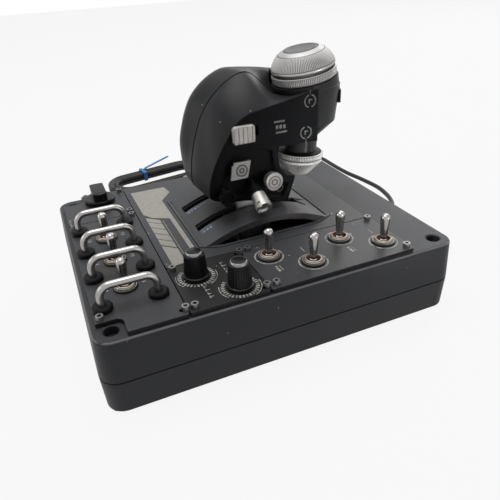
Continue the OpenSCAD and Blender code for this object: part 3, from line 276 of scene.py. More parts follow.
def dusty(name, tone, dust, rough, grain, dust_share, shine=0.2):
    """A moulded surface: a slightly blotchy tone, a fine grain in relief, and specks of dust."""
    material, tree, shader = material_nodes(name)
    shader.inputs["Specular IOR Level"].default_value = shine
    place = node(tree, "ShaderNodeTexCoord").outputs["Object"]
    blotch = node(tree, "ShaderNodeTexNoise", Scale=45.0, Detail=4.0)
    base = node(tree, "ShaderNodeMix", data_type="RGBA")
    base.inputs["A"].default_value = (*(c * 0.86 for c in tone), 1)
    base.inputs["B"].default_value = (*(c * 1.16 for c in tone), 1)
    cells = node(tree, "ShaderNodeTexVoronoi", Scale=SPECK_CELLS)
    pick = node(tree, "ShaderNodeSeparateColor")
    near = node(tree, "ShaderNodeMath", operation="LESS_THAN")
    near.inputs[1].default_value = SPECK_R
    few = node(tree, "ShaderNodeMath", operation="LESS_THAN")
    few.inputs[1].default_value = dust_share
    speck = node(tree, "ShaderNodeMath", operation="MULTIPLY")
    finish = node(tree, "ShaderNodeMix", data_type="RGBA")
    finish.inputs["B"].default_value = (*dust, 1)
    bumps = node(tree, "ShaderNodeTexNoise", Scale=GRAIN_SCALE, Detail=2.0)
    relief = node(tree, "ShaderNodeBump", Strength=grain, Distance=GRAIN_DEPTH)
    sheen = node(tree, "ShaderNodeMapRange")
    sheen.inputs["To Min"].default_value = rough - 0.07
    sheen.inputs["To Max"].default_value = rough + 0.07
    for texture in (blotch, cells, bumps):
        tree.links.new(place, texture.inputs["Vector"])
    wire(tree, [
        (blotch.outputs["Fac"], base.inputs["Factor"]),
        (cells.outputs["Distance"], near.inputs[0]),
        (cells.outputs["Color"], pick.inputs["Color"]),
        (pick.outputs["Red"], few.inputs[0]),
        (near.outputs[0], speck.inputs[0]),
        (few.outputs[0], speck.inputs[1]),
        (speck.outputs[0], finish.inputs["Factor"]),
        (base.outputs["Result"], finish.inputs["A"]),
        (finish.outputs["Result"], shader.inputs["Base Color"]),
        (bumps.outputs["Fac"], relief.inputs["Height"]),
        (relief.outputs["Normal"], shader.inputs["Normal"]),
        (blotch.outputs["Fac"], sheen.inputs["Value"]),
        (sheen.outputs["Result"], shader.inputs["Roughness"]),
    ])
    return material


def lay_cord(material):
    line = smooth_line(CORD_ROUTE, 6) + hank_line()
    curve = bpy.data.curves.new("cord", "CURVE")
    curve.dimensions = "3D"
    curve.bevel_depth = CORD_D / 2 * MM
    curve.bevel_resolution = 4
    curve.use_fill_caps = True
    spline = curve.splines.new("POLY")
    spline.points.add(len(line) - 1)
    for point, at in zip(spline.points, line):
        point.co = (*at, 1)
    curve.materials.append(material)
    return show("cord", curve), sum((b - a).length for a, b in zip(line, line[1:]))


cord_jacket = dusty("cord_jacket", (0.022, 0.022, 0.024), (0.2, 0.2, 0.2), 0.42, 0.05, 0.02)
cord, cord_length = lay_cord(cord_jacket)
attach(cord, "base")
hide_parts("usb_cord", "cord_coil")


def dress(material, *names):
    for name in names:
        mesh = frame["nodes"][name].data
        mesh.materials.clear()
        mesh.materials.append(material)


gland_rubber = dusty("gland_rubber", (0.016, 0.016, 0.017), (0.2, 0.2, 0.2), 0.6, 0.2, 0.02)
dress(gland_rubber, "cord_gland")

# The tie and the plug
# A blue plastic tie holds the hank's far run, with its tail left long.
# The lead's plug is a beige moulding, lying beside the hank.
TIE_BLUE = (0.03, 0.16, 0.42)
PLUG_BEIGE = (0.36, 0.32, 0.25)
tie_plastic = dusty("tie_plastic", TIE_BLUE, (0.5, 0.55, 0.6), 0.4, 0.05, 0.01)
dress(tie_plastic, "cord_tie")


plug_moulding = dusty("plug_moulding", PLUG_BEIGE, (0.6, 0.6, 0.6), 0.5, 0.1, 0.01)
dress(plug_moulding, "usb_plug")

# The case
# Two moulded halves of charcoal plastic with a fine spark texture, screwed together from below,
# on four rubber feet. Their edges are slightly rounded, and dust lies on them.
CASE_TONE = (0.030, 0.031, 0.034)
DUST = (0.34, 0.33, 0.31)


def turned_metal(name, tone, rough, streak, metallic=1.0):
    """Bare metal: bright and dull patches, with fine turning marks in relief."""
    material, tree, shader = material_nodes(name)
    shader.inputs["Metallic"].default_value = metallic
    place = node(tree, "ShaderNodeTexCoord").outputs["Object"]
    patches = node(tree, "ShaderNodeTexNoise", Scale=130.0, Detail=5.0)
    tint = node(tree, "ShaderNodeMix", data_type="RGBA")
    tint.inputs["A"].default_value = (*(c * 0.82 for c in tone), 1)
    tint.inputs["B"].default_value = (*(min(1, c * 1.12) for c in tone), 1)
    gloss = node(tree, "ShaderNodeMapRange")
    gloss.inputs["To Min"].default_value = rough * 0.75
    gloss.inputs["To Max"].default_value = rough * 1.3
    lines = node(tree, "ShaderNodeTexNoise", Scale=1500.0, Detail=1.0)
    marks = node(tree, "ShaderNodeBump", Strength=streak, Distance=0.00008)
    for texture in (patches, lines):
        tree.links.new(place, texture.inputs["Vector"])
    wire(tree, [
        (patches.outputs["Fac"], tint.inputs["Factor"]),
        (tint.outputs["Result"], shader.inputs["Base Color"]),
        (patches.outputs["Fac"], gloss.inputs["Value"]),
        (gloss.outputs["Result"], shader.inputs["Roughness"]),
        (lines.outputs["Fac"], marks.inputs["Height"]),
        (marks.outputs["Normal"], shader.inputs["Normal"]),
    ])
    return material


def body_of(name):
    return frame["nodes"][name]["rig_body"]


def smooth_faces(mesh, angle):
    mesh.shade_smooth()
    mesh.set_sharp_from_angle(angle=radians(angle))


def settle(piece):
    """Applies a piece's modifiers to its mesh."""
    final = piece.evaluated_get(bpy.context.evaluated_depsgraph_get())
    piece.data = bpy.data.meshes.new_from_object(final)
    piece.modifiers.clear()


def soften(name, width, *materials, choose=None, pick=None, smooth=38, flat=0.5):
    """The piece of a CAD node with its edges broken by a small round, as moulding and wear leave them."""
    form = bmesh.new()
    form.from_mesh(frame["nodes"][name].data)
    bmesh.ops.remove_doubles(form, verts=form.verts, dist=1e-6)
    if flat:
        bmesh.ops.dissolve_limit(form, angle_limit=radians(flat), verts=form.verts, edges=form.edges)
    share = form.edges.layers.float.new("bevel_weight_edge")
    for edge in form.edges:
        sharp = edge.is_manifold and edge.calc_face_angle() > radians(smooth)
        if sharp and (pick is None or pick((edge.verts[0].co + edge.verts[1].co) / 2)):
            edge[share] = 1.0
    mesh = bpy.data.meshes.new(name + "_form")
    form.to_mesh(mesh)
    form.free()
    piece = show(name + "_finished", mesh)
    edges = piece.modifiers.new("edges", "BEVEL")
    edges.width = width * MM
    edges.segments = 2
    edges.limit_method = "WEIGHT"
    edges.use_clamp_overlap = False
    settle(piece)
    smooth_faces(piece.data, smooth)
    shading = piece.modifiers.new("shading", "WEIGHTED_NORMAL")
    shading.keep_sharp = True
    shading.weight = 100
    settle(piece)
    piece.data.materials.clear()
    for material in materials:
        piece.data.materials.append(material)
    if choose:
        for face in piece.data.polygons:
            face.material_index = choose(face)
    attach(piece, body_of(name))
    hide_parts(name)
    return piece


case_plastic = dusty("case_plastic", CASE_TONE, DUST, 0.48, 0.35, 0.02)
foot_rubber = dusty("foot_rubber", (0.012, 0.012, 0.012), DUST, 0.8, 0.4, 0.02)
dark_steel = turned_metal("dark_steel", (0.10, 0.10, 0.105), 0.35, 0.1)
CASE_LOW, CASE_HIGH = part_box("upper_case")
CASE_RIM = 4 * MM


def on_rim(at):
    """Whether an edge lies at the outer walls of the case, and not round a hole or inside."""
    return not all(CASE_LOW[i] + CASE_RIM < at[i] < CASE_HIGH[i] - CASE_RIM for i in (0, 1))


soften("lower_case", 0.5, case_plastic, pick=on_rim)
# The lighter tone on the deck's rounded rim is a painted highlight: the bright line that the rim catches.
rim_highlight_paint = dusty("rim_highlight_paint", (0.13, 0.13, 0.135), DUST, 0.4, 0.2, 0.02)
CASE_TOP = CASE_HIGH.z
HIGHLIGHT_DEPTH = 1.2 * MM


def is_painted_highlight(face):
    """Whether a face is a part of the rounded rim of the deck, where a highlight is painted."""
    at = face.center
    return on_rim(at) and at.z > CASE_TOP - HIGHLIGHT_DEPTH and 0.3 < face.normal.z < 0.95


# The rim's rounded faces get the painted highlight.
soften("upper_case", 0.6, case_plastic, rim_highlight_paint, choose=is_painted_highlight,
       pick=lambda at: on_rim(at) or at.z > CASE_TOP - 0.1 * MM)
dress(foot_rubber, "rubber_feet")
dress(dark_steel, "case_screws")

# The switch panels
# Five flat plates with a fine grain lie on the case's deck, each held by small screws.
# Between them they leave a narrow dark gap.
PANEL_TONE = (0.042, 0.043, 0.046)
# The knob panel's much darker tone is painted shade: the grip's shadow over it.
KNOB_PANEL_SHADE_TONE = (0.011, 0.0112, 0.012)
PANEL_DUST = (0.62, 0.60, 0.57)
panel_plastic = dusty("panel_plastic", PANEL_TONE, PANEL_DUST, 0.42, 0.3, 0.16)
knob_panel_painted_shade = dusty("knob_panel_painted_shade", KNOB_PANEL_SHADE_TONE, PANEL_DUST, 0.46, 0.3, 0.2)
# The panels' side faces, which line the gaps between them, are painted near black: painted shade.
panel_side_shade = dusty("panel_side_shade", (0.006, 0.006, 0.0065), DUST, 0.6, 0.2, 0.02)
for panel in ("guard_panel", "selector_panel", "knob_panel", "toggle_panel", "centre_panel"):
    soften(panel, 0.35, knob_panel_painted_shade if panel == "knob_panel" else panel_plastic, panel_side_shade,
           choose=lambda face: 1 if abs(face.normal.z) < 0.3 else 0)

# The print on the panels
# Marks in pale ink: rings and short bars at the switches, scales round the two rotary knobs,
# and a block of slanted stripes beside the lever. The ink is thin and a little worn.
PANEL_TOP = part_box("guard_panel")[1].z
INK_PALE = (0.40, 0.385, 0.35)
INK_H = 0.04
RING_R = 9.4
SCALE_R = 12.0
DASH_COUNT = 25


def ink(name, tone, wear):
    material, tree, shader = material_nodes(name)
    shader.inputs["Roughness"].default_value = 0.6
    place = node(tree, "ShaderNodeTexCoord").outputs["Object"]
    rub = node(tree, "ShaderNodeTexNoise", Scale=420.0, Detail=6.0)
    ramp = node(tree, "ShaderNodeMapRange")
    ramp.inputs["From Min"].default_value = 0.42
    ramp.inputs["From Max"].default_value = 0.62
    ramp.inputs["To Max"].default_value = wear
    colour = node(tree, "ShaderNodeMix", data_type="RGBA")
    colour.inputs["A"].default_value = (*tone, 1)
    colour.inputs["B"].default_value = (*PANEL_TONE, 1)
    wire(tree, [
        (place, rub.inputs["Vector"]),
        (rub.outputs["Fac"], ramp.inputs["Value"]),
        (ramp.outputs["Result"], colour.inputs["Factor"]),
        (colour.outputs["Result"], shader.inputs["Base Color"]),
    ])
    return material


def new_tree(name, sizes):
    """An empty geometry tree with a named input for each size, and its input and output nodes."""
    tree = bpy.data.node_groups.new(name, "GeometryNodeTree")
    tree.interface.new_socket("Geometry", in_out="OUTPUT", socket_type="NodeSocketGeometry")
    tree.interface.new_socket("Geometry", in_out="INPUT", socket_type="NodeSocketGeometry")
    for label, kind in sizes.items():
        tree.interface.new_socket(label, in_out="INPUT", socket_type="NodeSocket" + kind)
    return tree, tree.nodes.new("NodeGroupInput"), tree.nodes.new("NodeGroupOutput")


def end_tree(tree, given, out, geometry):
    """Makes the instances real, sets the finish and closes the tree."""
    real = tree.nodes.new("GeometryNodeRealizeInstances")
    paint = tree.nodes.new("GeometryNodeSetMaterial")
    wire(tree, [
        (geometry, real.inputs[0]),
        (real.outputs[0], paint.inputs["Geometry"]),
        (given.outputs["Finish"], paint.inputs["Material"]),
        (paint.outputs[0], out.inputs[0]),
    ])


def grow(name, tree, sizes, points, lines=()):
    """Runs a tree over a set of points and keeps the result as a plain mesh."""
    seed = bpy.data.meshes.new(name)
    seed.from_pydata([tuple(p) for p in points], lines, [])
    piece = show(name, seed)
    modifier = piece.modifiers.new(name, "NODES")
    modifier.node_group = tree
    for socket in tree.interface.items_tree:
        if socket.in_out == "INPUT" and socket.name in sizes:
            modifier[socket.identifier] = sizes[socket.name]
    settle(piece)
    return piece


def arc_tree():
    tree, given, out = new_tree("printed_arc", {
        "Radius": "Float", "Start": "Float", "Sweep": "Float", "Width": "Float", "Height": "Float",
        "Finish": "Material",
    })
    arc = node(tree, "GeometryNodeCurveArc", Resolution=64)
    strip = tree.nodes.new("GeometryNodeCurvePrimitiveQuadrilateral")
    swept = node(tree, "GeometryNodeCurveToMesh")
    swept.inputs["Fill Caps"].default_value = True
    placed = tree.nodes.new("GeometryNodeInstanceOnPoints")
    for size_name, socket in (("Radius", "Radius"), ("Start", "Start Angle"), ("Sweep", "Sweep Angle")):
        tree.links.new(given.outputs[size_name], arc.inputs[socket])
    wire(tree, [
        (given.outputs["Width"], strip.inputs["Width"]),
        (given.outputs["Height"], strip.inputs["Height"]),
        (arc.outputs["Curve"], swept.inputs["Curve"]),
        (strip.outputs["Curve"], swept.inputs["Profile Curve"]),
        (given.outputs["Geometry"], placed.inputs["Points"]),
        (swept.outputs["Mesh"], placed.inputs["Instance"]),
    ])
    end_tree(tree, given, out, placed.outputs["Instances"])
    return tree


def bar_ring_tree():
    """Bars spread round an axis, each from one point to another and turned by its share of the ring."""
    tree, given, out = new_tree("ring_of_bars", {
        "Count": "Int", "First": "Float", "Step": "Float", "From": "Vector", "To": "Vector",
        "Bulge": "Vector", "Width": "Float", "Height": "Float", "Finish": "Material",
    })
    line = node(tree, "GeometryNodeCurveQuadraticBezier", Resolution=5)
    middle = node(tree, "ShaderNodeMix", data_type="VECTOR")
    bulge = node(tree, "ShaderNodeVectorMath", operation="ADD")
    strip = tree.nodes.new("GeometryNodeCurvePrimitiveQuadrilateral")
    swept = node(tree, "GeometryNodeCurveToMesh")
    swept.inputs["Fill Caps"].default_value = True
    spread = tree.nodes.new("GeometryNodePoints")
    index = tree.nodes.new("GeometryNodeInputIndex")
    angle = node(tree, "ShaderNodeMath", operation="MULTIPLY_ADD")
    turn = tree.nodes.new("ShaderNodeCombineXYZ")
    ring = tree.nodes.new("GeometryNodeInstanceOnPoints")
    placed = tree.nodes.new("GeometryNodeInstanceOnPoints")
    wire(tree, [
        (given.outputs["From"], line.inputs["Start"]),
        (given.outputs["To"], line.inputs["End"]),
        (given.outputs["From"], middle.inputs["A"]),
        (given.outputs["To"], middle.inputs["B"]),
        (middle.outputs["Result"], bulge.inputs[0]),
        (given.outputs["Bulge"], bulge.inputs[1]),
        (bulge.outputs[0], line.inputs["Middle"]),
        (given.outputs["Width"], strip.inputs["Width"]),
        (given.outputs["Height"], strip.inputs["Height"]),
        (line.outputs["Curve"], swept.inputs["Curve"]),
        (strip.outputs["Curve"], swept.inputs["Profile Curve"]),
        (given.outputs["Count"], spread.inputs["Count"]),
        (index.outputs[0], angle.inputs[0]),
        (given.outputs["Step"], angle.inputs[1]),
        (given.outputs["First"], angle.inputs[2]),
        (angle.outputs[0], turn.inputs["Z"]),
        (spread.outputs[0], ring.inputs["Points"]),
        (swept.outputs["Mesh"], ring.inputs["Instance"]),
        (turn.outputs[0], ring.inputs["Rotation"]),
        (given.outputs["Geometry"], placed.inputs["Points"]),
        (ring.outputs["Instances"], placed.inputs["Instance"]),
    ])
    end_tree(tree, given, out, placed.outputs["Instances"])
    return tree


def joint_place(name):
    """The frame of a hinge: its point, with Z along its axis."""
    joint = next(j for j in frame["joints"] if j["name"] == name)
    turn = Vector(joint["axis"]).to_track_quat("Z", "X").to_matrix().to_4x4()
    return Matrix.Translation(joint["pos_m"]) @ turn


def on_panel(name):
    at = joint_place(name).translation
    return Vector((at.x, at.y, PANEL_TOP))


def printed(name, outlines, material, height=INK_H, place=None):
    """Flat marks of a given thickness, from outlines in millimetres."""
    form = bmesh.new()
    for outline in outlines:
        base = [form.verts.new((x * MM, y * MM, 0)) for x, y in outline]
        face = form.faces.new(base)
        raised = bmesh.ops.extrude_face_region(form, geom=[face])["geom"]
        tops = [item for item in raised if isinstance(item, bmesh.types.BMVert)]
        bmesh.ops.translate(form, verts=tops, vec=(0, 0, height * MM))
    bmesh.ops.recalc_face_normals(form, faces=form.faces)
    mesh = bpy.data.meshes.new(name)
    form.to_mesh(mesh)
    form.free()
    mesh.transform(place or Matrix.Translation((0, 0, PANEL_TOP)))
    mesh.materials.append(material)
    return show(name, mesh)


def bar(x, y, length, width):
    return [(x - length / 2, y - width / 2), (x + length / 2, y - width / 2),
            (x + length / 2, y + width / 2), (x - length / 2, y + width / 2)]


ROW_SWITCHES = [f"row_switch_{k}" for k in range(1, 5)]
GUARD_SWITCHES = [f"guard_switch_{k}" for k in range(1, 4)]
KNOBS = ["rotary_1", "rotary_2"]
ARC = arc_tree()
BAR_RING = bar_ring_tree()
panel_ink = ink("panel_ink", INK_PALE, 0.8)
stripe_ink = ink("stripe_ink", (0.30, 0.285, 0.255), 0.12)
switch_rings = grow("switch_rings", ARC, {
    "Radius": RING_R * MM, "Start": 0.0, "Sweep": 2 * pi, "Width": 0.9 * MM, "Height": 2 * INK_H * MM,
    "Finish": panel_ink,
}, [on_panel(n) for n in ROW_SWITCHES])
knob_arcs = [
    grow(f"knob_arcs_{k + 1}", ARC, {
        "Radius": (SCALE_R + 1.1) * MM, "Start": radians(start), "Sweep": radians(sweep), "Width": 0.6 * MM,
        "Height": 2 * INK_H * MM, "Finish": panel_ink,
    }, [on_panel(n) for n in KNOBS])
    for k, (start, sweep) in enumerate(((-66, 74), (158, 58)))
]
knob_dashes = grow("knob_dashes", BAR_RING, {
    "Count": DASH_COUNT, "First": radians(-225), "Step": radians(270 / (DASH_COUNT - 1)),
    "From": (9.6 * MM, 0, 0), "To": (SCALE_R * MM, 0, 0), "Width": 1.3 * MM, "Height": 2 * INK_H * MM,
    "Finish": panel_ink,
}, [on_panel(n) for n in KNOBS])
LEGEND_AWAY = 16.4
GUARD_LEGEND_AWAY = 11.8
KNOB_LEGENDS = [(-51.6, -78.4), (-33.2, -57.2)]
legends = []
for k, name in enumerate(ROW_SWITCHES):
    at = on_panel(name) / MM
    side = 1 if k % 2 else -1
    if k % 2 == 0:
        legends.append(bar(at.x - 1.4, at.y + side * LEGEND_AWAY, 1.5, 6.6))
    legends.append(bar(at.x + 1.0, at.y + side * LEGEND_AWAY, 0.5, 6.0))
for name in GUARD_SWITCHES:
    at = on_panel(name) / MM
    for side in (-1, 1):
        for y in (3.4, 0.8):
            legends.append(bar(at.x + side * GUARD_LEGEND_AWAY, at.y + y, 2.4, 1.0))
for x, y in KNOB_LEGENDS:
    for k in range(4):
        letter = y - 3.7 * k
        legends.append(bar(x - 0.9, letter, 0.7, 2.4))
        legends.append(bar(x + 0.5 * (k % 2), letter + 0.7 - 0.6 * k % 1.3, 1.9, 0.6))
panel_legends = printed("panel_legends", legends, panel_ink)
STRIPE_LEFT = -62.8
STRIPE_RIGHT = -53.6
STRIPE_FALL = 8.4
STRIPE_PITCH = 9.95
STRIPE_GAP = 1.0
STRIPE_TOP = 31.6
stripes = [
    [
        (-63.4, 85), (-34.3, 84.5), (-32.6, 71.2), (-43, 57.3), (-42.7, -46), (-46, -46), (-46, 22.4),
        (-58, 29.6), (-63, 38),
    ],
    [(STRIPE_LEFT, -16.9), (STRIPE_RIGHT, -16.9 - STRIPE_FALL), (STRIPE_RIGHT, -45), (STRIPE_LEFT, -46.6)],
    [(-52.1, 21.5), (-52.1, -45), (-51.7, -45), (-51.7, 21.5)],
]
for k in range(5):
    y = STRIPE_TOP - STRIPE_PITCH * k + (STRIPE_PITCH * 0.2 if k else 0)
    low = STRIPE_TOP - STRIPE_PITCH * (k + 0.8) + STRIPE_GAP
    stripes.append([
        (STRIPE_LEFT, y), (STRIPE_LEFT, low),
        (STRIPE_RIGHT, low - STRIPE_FALL), (STRIPE_RIGHT, y - STRIPE_FALL),
    ])
side_stripes = printed("side_stripes", stripes, stripe_ink)
for mark in (switch_rings, *knob_arcs, knob_dashes, panel_legends, side_stripes):
    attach(mark, "base")

# The panel screws
# Small dark cap screws with a hexagon socket, one near each corner of a panel.
# Each is made of turned steel and holds the panel to the case.
SCREW_HEAD_R = 2.3
SCREW_HEAD_H = 2.8
SCREW_SOCKET_R = 1.35


def screw_tree():
    tree, given, out = new_tree("socket_screws", {
        "Head Radius": "Float", "Head Height": "Float", "Socket Radius": "Float", "Finish": "Material",
    })
    head = node(tree, "GeometryNodeMeshCylinder", Vertices=28)
    socket = node(tree, "GeometryNodeMeshCylinder", Vertices=6)
    cut = node(tree, "GeometryNodeMeshBoolean", operation="DIFFERENCE")
    lift = tree.nodes.new("GeometryNodeTransform")
    half = node(tree, "ShaderNodeMath", operation="MULTIPLY")
    half.inputs[1].default_value = 0.5
    up = tree.nodes.new("ShaderNodeCombineXYZ")
    raise_socket = tree.nodes.new("GeometryNodeTransform")
    placed = tree.nodes.new("GeometryNodeInstanceOnPoints")
    wire(tree, [
        (given.outputs["Head Radius"], head.inputs["Radius"]),
        (given.outputs["Head Height"], head.inputs["Depth"]),
        (given.outputs["Socket Radius"], socket.inputs["Radius"]),
        (given.outputs["Head Height"], socket.inputs["Depth"]),
        (given.outputs["Head Height"], half.inputs[0]),
        (half.outputs[0], up.inputs["Z"]),
        (socket.outputs["Mesh"], raise_socket.inputs["Geometry"]),
        (up.outputs[0], raise_socket.inputs["Translation"]),
        (head.outputs["Mesh"], cut.inputs["Mesh 1"]),
        (raise_socket.outputs[0], cut.inputs["Mesh 2"]),
        (cut.outputs["Mesh"], lift.inputs["Geometry"]),
        (up.outputs[0], lift.inputs["Translation"]),
        (given.outputs["Geometry"], placed.inputs["Points"]),
        (lift.outputs[0], placed.inputs["Instance"]),
    ])
    end_tree(tree, given, out, placed.outputs["Instances"])
    return tree


def screw_points():
    """The middle of each screw head, from the heads' top vertices."""
    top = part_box("panel_screws")[1].z
    spots = []
    for vertex in frame["nodes"]["panel_screws"].data.vertices:
        if vertex.co.z < top - 1e-5:
            continue
        for spot in spots:
            if (spot[0] - vertex.co.xy).length < 2.2 * SCREW_HEAD_R * MM:
                spot.append(vertex.co.xy.copy())
                break
        else:
            spots.append([vertex.co.xy.copy()])
    middles = []
    for spot in spots:
        low = Vector((min(p.x for p in spot), min(p.y for p in spot)))
        high = Vector((max(p.x for p in spot), max(p.y for p in spot)))
        middles.append(Vector((*((low + high) / 2), PANEL_TOP)))
    return middles


screw_steel = turned_metal("screw_steel", (0.2, 0.2, 0.2), 0.42, 0.15)
panel_screw_heads = grow("panel_screw_heads", screw_tree(), {
    "Head Radius": SCREW_HEAD_R * MM, "Head Height": SCREW_HEAD_H * MM, "Socket Radius": SCREW_SOCKET_R * MM,
    "Finish": screw_steel,
}, screw_points())
smooth_faces(panel_screw_heads.data, 40)
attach(panel_screw_heads, "base")
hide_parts("panel_screws")

# The arched cover
# A moulded bow in a raised frame, with two slots for the lever's arms. Rubber lips close the slots.
# Two bluish strips with pale ticks on the bow beside them are painted light: the lit patches there, drawn as
# printed scales.
arch_plastic = dusty("arch_plastic", (0.052, 0.053, 0.056), DUST, 0.40, 0.4, 0.12)
lip_rubber = dusty("lip_rubber", (0.008, 0.008, 0.009), (0.08, 0.08, 0.08), 0.7, 0.2, 0.01)
ARCH_R = 102.7
ARCH_X = joint_place("throttle_swing").translation.x / MM
ARCH_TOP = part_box("arch_cover")[1].z / MM
# Spans of the two bluish strips, which are painted light: lit patches beside the slots.
LIT_PATCH_STRIPS = [(-33.0, -16.8, 17.6, 22.3), (-32.6, -23.8, -17.6, -11.6)]
TICK_PITCH = 2.6
SUNK = 0.02
soften("arch_cover", 0.25, arch_plastic, flat=0)
dress(lip_rubber, "slot_seals")


def on_arch(x, y, height):
    """A point over the bow, which is a part of a cylinder across the lever's travel."""
    r = ARCH_R + height
    return Vector((x, y, ARCH_TOP - ARCH_R + (r * r - (x - ARCH_X) ** 2) ** 0.5)) * MM


def bow_marks(name, patches, height, material, steps=8):
    """Thin marks that follow the bow, each over a span of X and Y in millimetres."""
    form = bmesh.new()
    for x0, x1, y0, y1 in patches:
        rows = []
        for k in range(steps + 1):
            x = x0 + (x1 - x0) * k / steps
            section = ((y0, -SUNK), (y1, -SUNK), (y1, height), (y0, height))
            rows.append([form.verts.new(on_arch(x, y, h)) for y, h in section])
        for low, high in zip(rows, rows[1:]):
            for i in range(4):
                n = (i + 1) % 4
                form.faces.new((low[i], low[n], high[n], high[i]))
        form.faces.new(rows[0])
        form.faces.new(rows[-1])
    bmesh.ops.recalc_face_normals(form, faces=form.faces)
    mesh = bpy.data.meshes.new(name)
    form.to_mesh(mesh)
    form.free()
    mesh.materials.append(material)
    return show(name, mesh)


# The bluish strip and the pale ticks on it are painted light, drawn like a printed scale.
painted_light_ink = ink("painted_light_ink", (0.085, 0.10, 0.135), 0.5)
painted_light_tick_ink = ink("painted_light_tick_ink", (0.42, 0.46, 0.55), 0.5)
painted_light_strips = bow_marks("painted_light_strips", LIT_PATCH_STRIPS, 0.05, painted_light_ink)
ticks = []
for x0, x1, y0, y1 in LIT_PATCH_STRIPS:
    for k in range(int((x1 - x0) / TICK_PITCH)):
        x = x0 + TICK_PITCH * (k + 0.6)
        ticks.append((x, x + 0.7, y0 + 0.5, y0 + 2.1))
painted_light_ticks = bow_marks("painted_light_ticks", ticks, 0.09, painted_light_tick_ink, steps=1)
for mark in (painted_light_strips, painted_light_ticks):
    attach(mark, "base")

# The guards
# Bent rods of steel stand over the panel between the switches.
# Each leg sits in a black rubber collar on the panel.
GUARD_ROD_R = 2.3
GUARD_BEND = 7


def rod_tree():
    tree, given, out = new_tree("bent_rod", {"Radius": "Float", "Bend": "Float", "Finish": "Material"})
    path = tree.nodes.new("GeometryNodeMeshToCurve")
    bend = node(tree, "GeometryNodeFilletCurve", mode="POLY", Count=10)
    round_bar = node(tree, "GeometryNodeCurvePrimitiveCircle", Resolution=28)
    swept = node(tree, "GeometryNodeCurveToMesh")
    swept.inputs["Fill Caps"].default_value = True
    wire(tree, [
        (given.outputs["Geometry"], path.inputs["Mesh"]),
        (path.outputs["Curve"], bend.inputs["Curve"]),
        (given.outputs["Bend"], bend.inputs["Radius"]),
        (given.outputs["Radius"], round_bar.inputs["Radius"]),
        (bend.outputs["Curve"], swept.inputs["Curve"]),
        (round_bar.outputs["Curve"], swept.inputs["Profile Curve"]),
    ])
    end_tree(tree, given, out, swept.outputs["Mesh"])
    return tree


def guard_lines():
    low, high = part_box("guard_loops")
    pitch = (high.y - low.y - 2 * GUARD_ROD_R * MM) / 3
    left, right = low.x + GUARD_ROD_R * MM, high.x - GUARD_ROD_R * MM
    top = high.z - GUARD_ROD_R * MM
    points, lines = [], []
    for k in range(4):
        y = high.y - GUARD_ROD_R * MM - k * pitch
        start = len(points)
        points += [(left, y, low.z), (left, y, top), (right, y, top), (right, y, low.z)]
        lines += [(start + i, start + i + 1) for i in range(3)]
    return points, lines


polished_steel = turned_metal("polished_steel", (0.36, 0.35, 0.34), 0.28, 0.06)
guard_points, guard_edges = guard_lines()
guard_rods = grow("guard_rods", rod_tree(), {
    "Radius": GUARD_ROD_R * MM, "Bend": GUARD_BEND * MM, "Finish": polished_steel,
}, guard_points, guard_edges)
smooth_faces(guard_rods.data, 50)
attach(guard_rods, "base")
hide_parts("guard_loops")
collar_rubber = dusty("collar_rubber", (0.004, 0.004, 0.0045), (0.2, 0.2, 0.2), 0.5, 0.1, 0.02, 0.12)
soften("guard_collars", 0.3, collar_rubber)

# The toggle switches
# Plated bat levers stand in threaded bushings. A ring nut over a black washer clamps each bushing
# to the panel, and the brass inside looks brown.


def turned(name, profile, material, places, steps=72, smooth=32):
    """A turned piece: a profile of radius and height in millimetres swept round its axis, at each place."""
    form = bmesh.new()
    closed = profile[0][0] > 0 or profile[-1][0] > 0
    rings = []
    for r, z in profile:
        if r == 0:
            rings.append([form.verts.new((0, 0, z * MM))])
            continue
        rings.append([
            form.verts.new((r * cos(2 * pi * k / steps) * MM, r * sin(2 * pi * k / steps) * MM, z * MM))
            for k in range(steps)
        ])
    pairs = list(zip(rings, rings[1:] + rings[:1])) if closed else list(zip(rings, rings[1:]))
    for low, high in pairs:
        for k in range(steps):
            n = (k + 1) % steps
            corners = [low[k % len(low)], low[n % len(low)], high[n % len(high)], high[k % len(high)]]
            form.faces.new(list(dict.fromkeys(corners)))
    bmesh.ops.recalc_face_normals(form, faces=form.faces)
    one = bpy.data.meshes.new(name)
    form.to_mesh(one)
    form.clear()
    for place in places:
        copy = one.copy()
        copy.transform(place)
        form.from_mesh(copy)
    mesh = bpy.data.meshes.new(name)
    form.to_mesh(mesh)
    form.free()
    smooth_faces(mesh, smooth)
    mesh.materials.append(material)
    return show(name, mesh)


WASHER_PROFILE = [(5.95, 0), (7.8, 0), (7.8, 0.9), (7.5, 1.25), (6.2, 1.5), (5.95, 1.5)]
NUT_PROFILE = [(4.75, 1.7), (6.2, 1.7), (6.3, 1.95), (6.1, 2.4), (5.3, 2.95), (4.9, 3.0), (4.65, 2.7)]
NUT_RIM_PROFILE = [(6.75, 1.1), (7.15, 1.1), (7.15, 1.6), (6.75, 1.6)]
switch_places = [Matrix.Translation(on_panel(n)) for n in GUARD_SWITCHES + ROW_SWITCHES]
nut_steel = turned_metal("nut_steel", (0.32, 0.297, 0.26), 0.46, 0.1)
washer_black = dusty("washer_black", (0.010, 0.0095, 0.009), DUST, 0.5, 0.1, 0.05)
lever_steel = turned_metal("lever_steel", (0.36, 0.345, 0.33), 0.2, 0.03)
switch_brass = turned_metal("switch_brass", (0.10, 0.05, 0.028), 0.5, 0.1)
switch_washers = turned("switch_washers", WASHER_PROFILE, washer_black, switch_places)
switch_nuts = turned("switch_nuts", NUT_PROFILE, nut_steel, switch_places)
nut_rims = turned("nut_rims", NUT_RIM_PROFILE, nut_steel, switch_places)
for piece in (switch_washers, switch_nuts, nut_rims):
    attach(piece, "base")
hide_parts("toggle_nuts")
dress(switch_brass, "toggle_bodies")
for name in [f"guard_toggle_{k}" for k in (1, 2, 3)] + [f"row_toggle_{k}" for k in (1, 2, 3, 4)]:
    soften(name, 0.1, lever_steel)

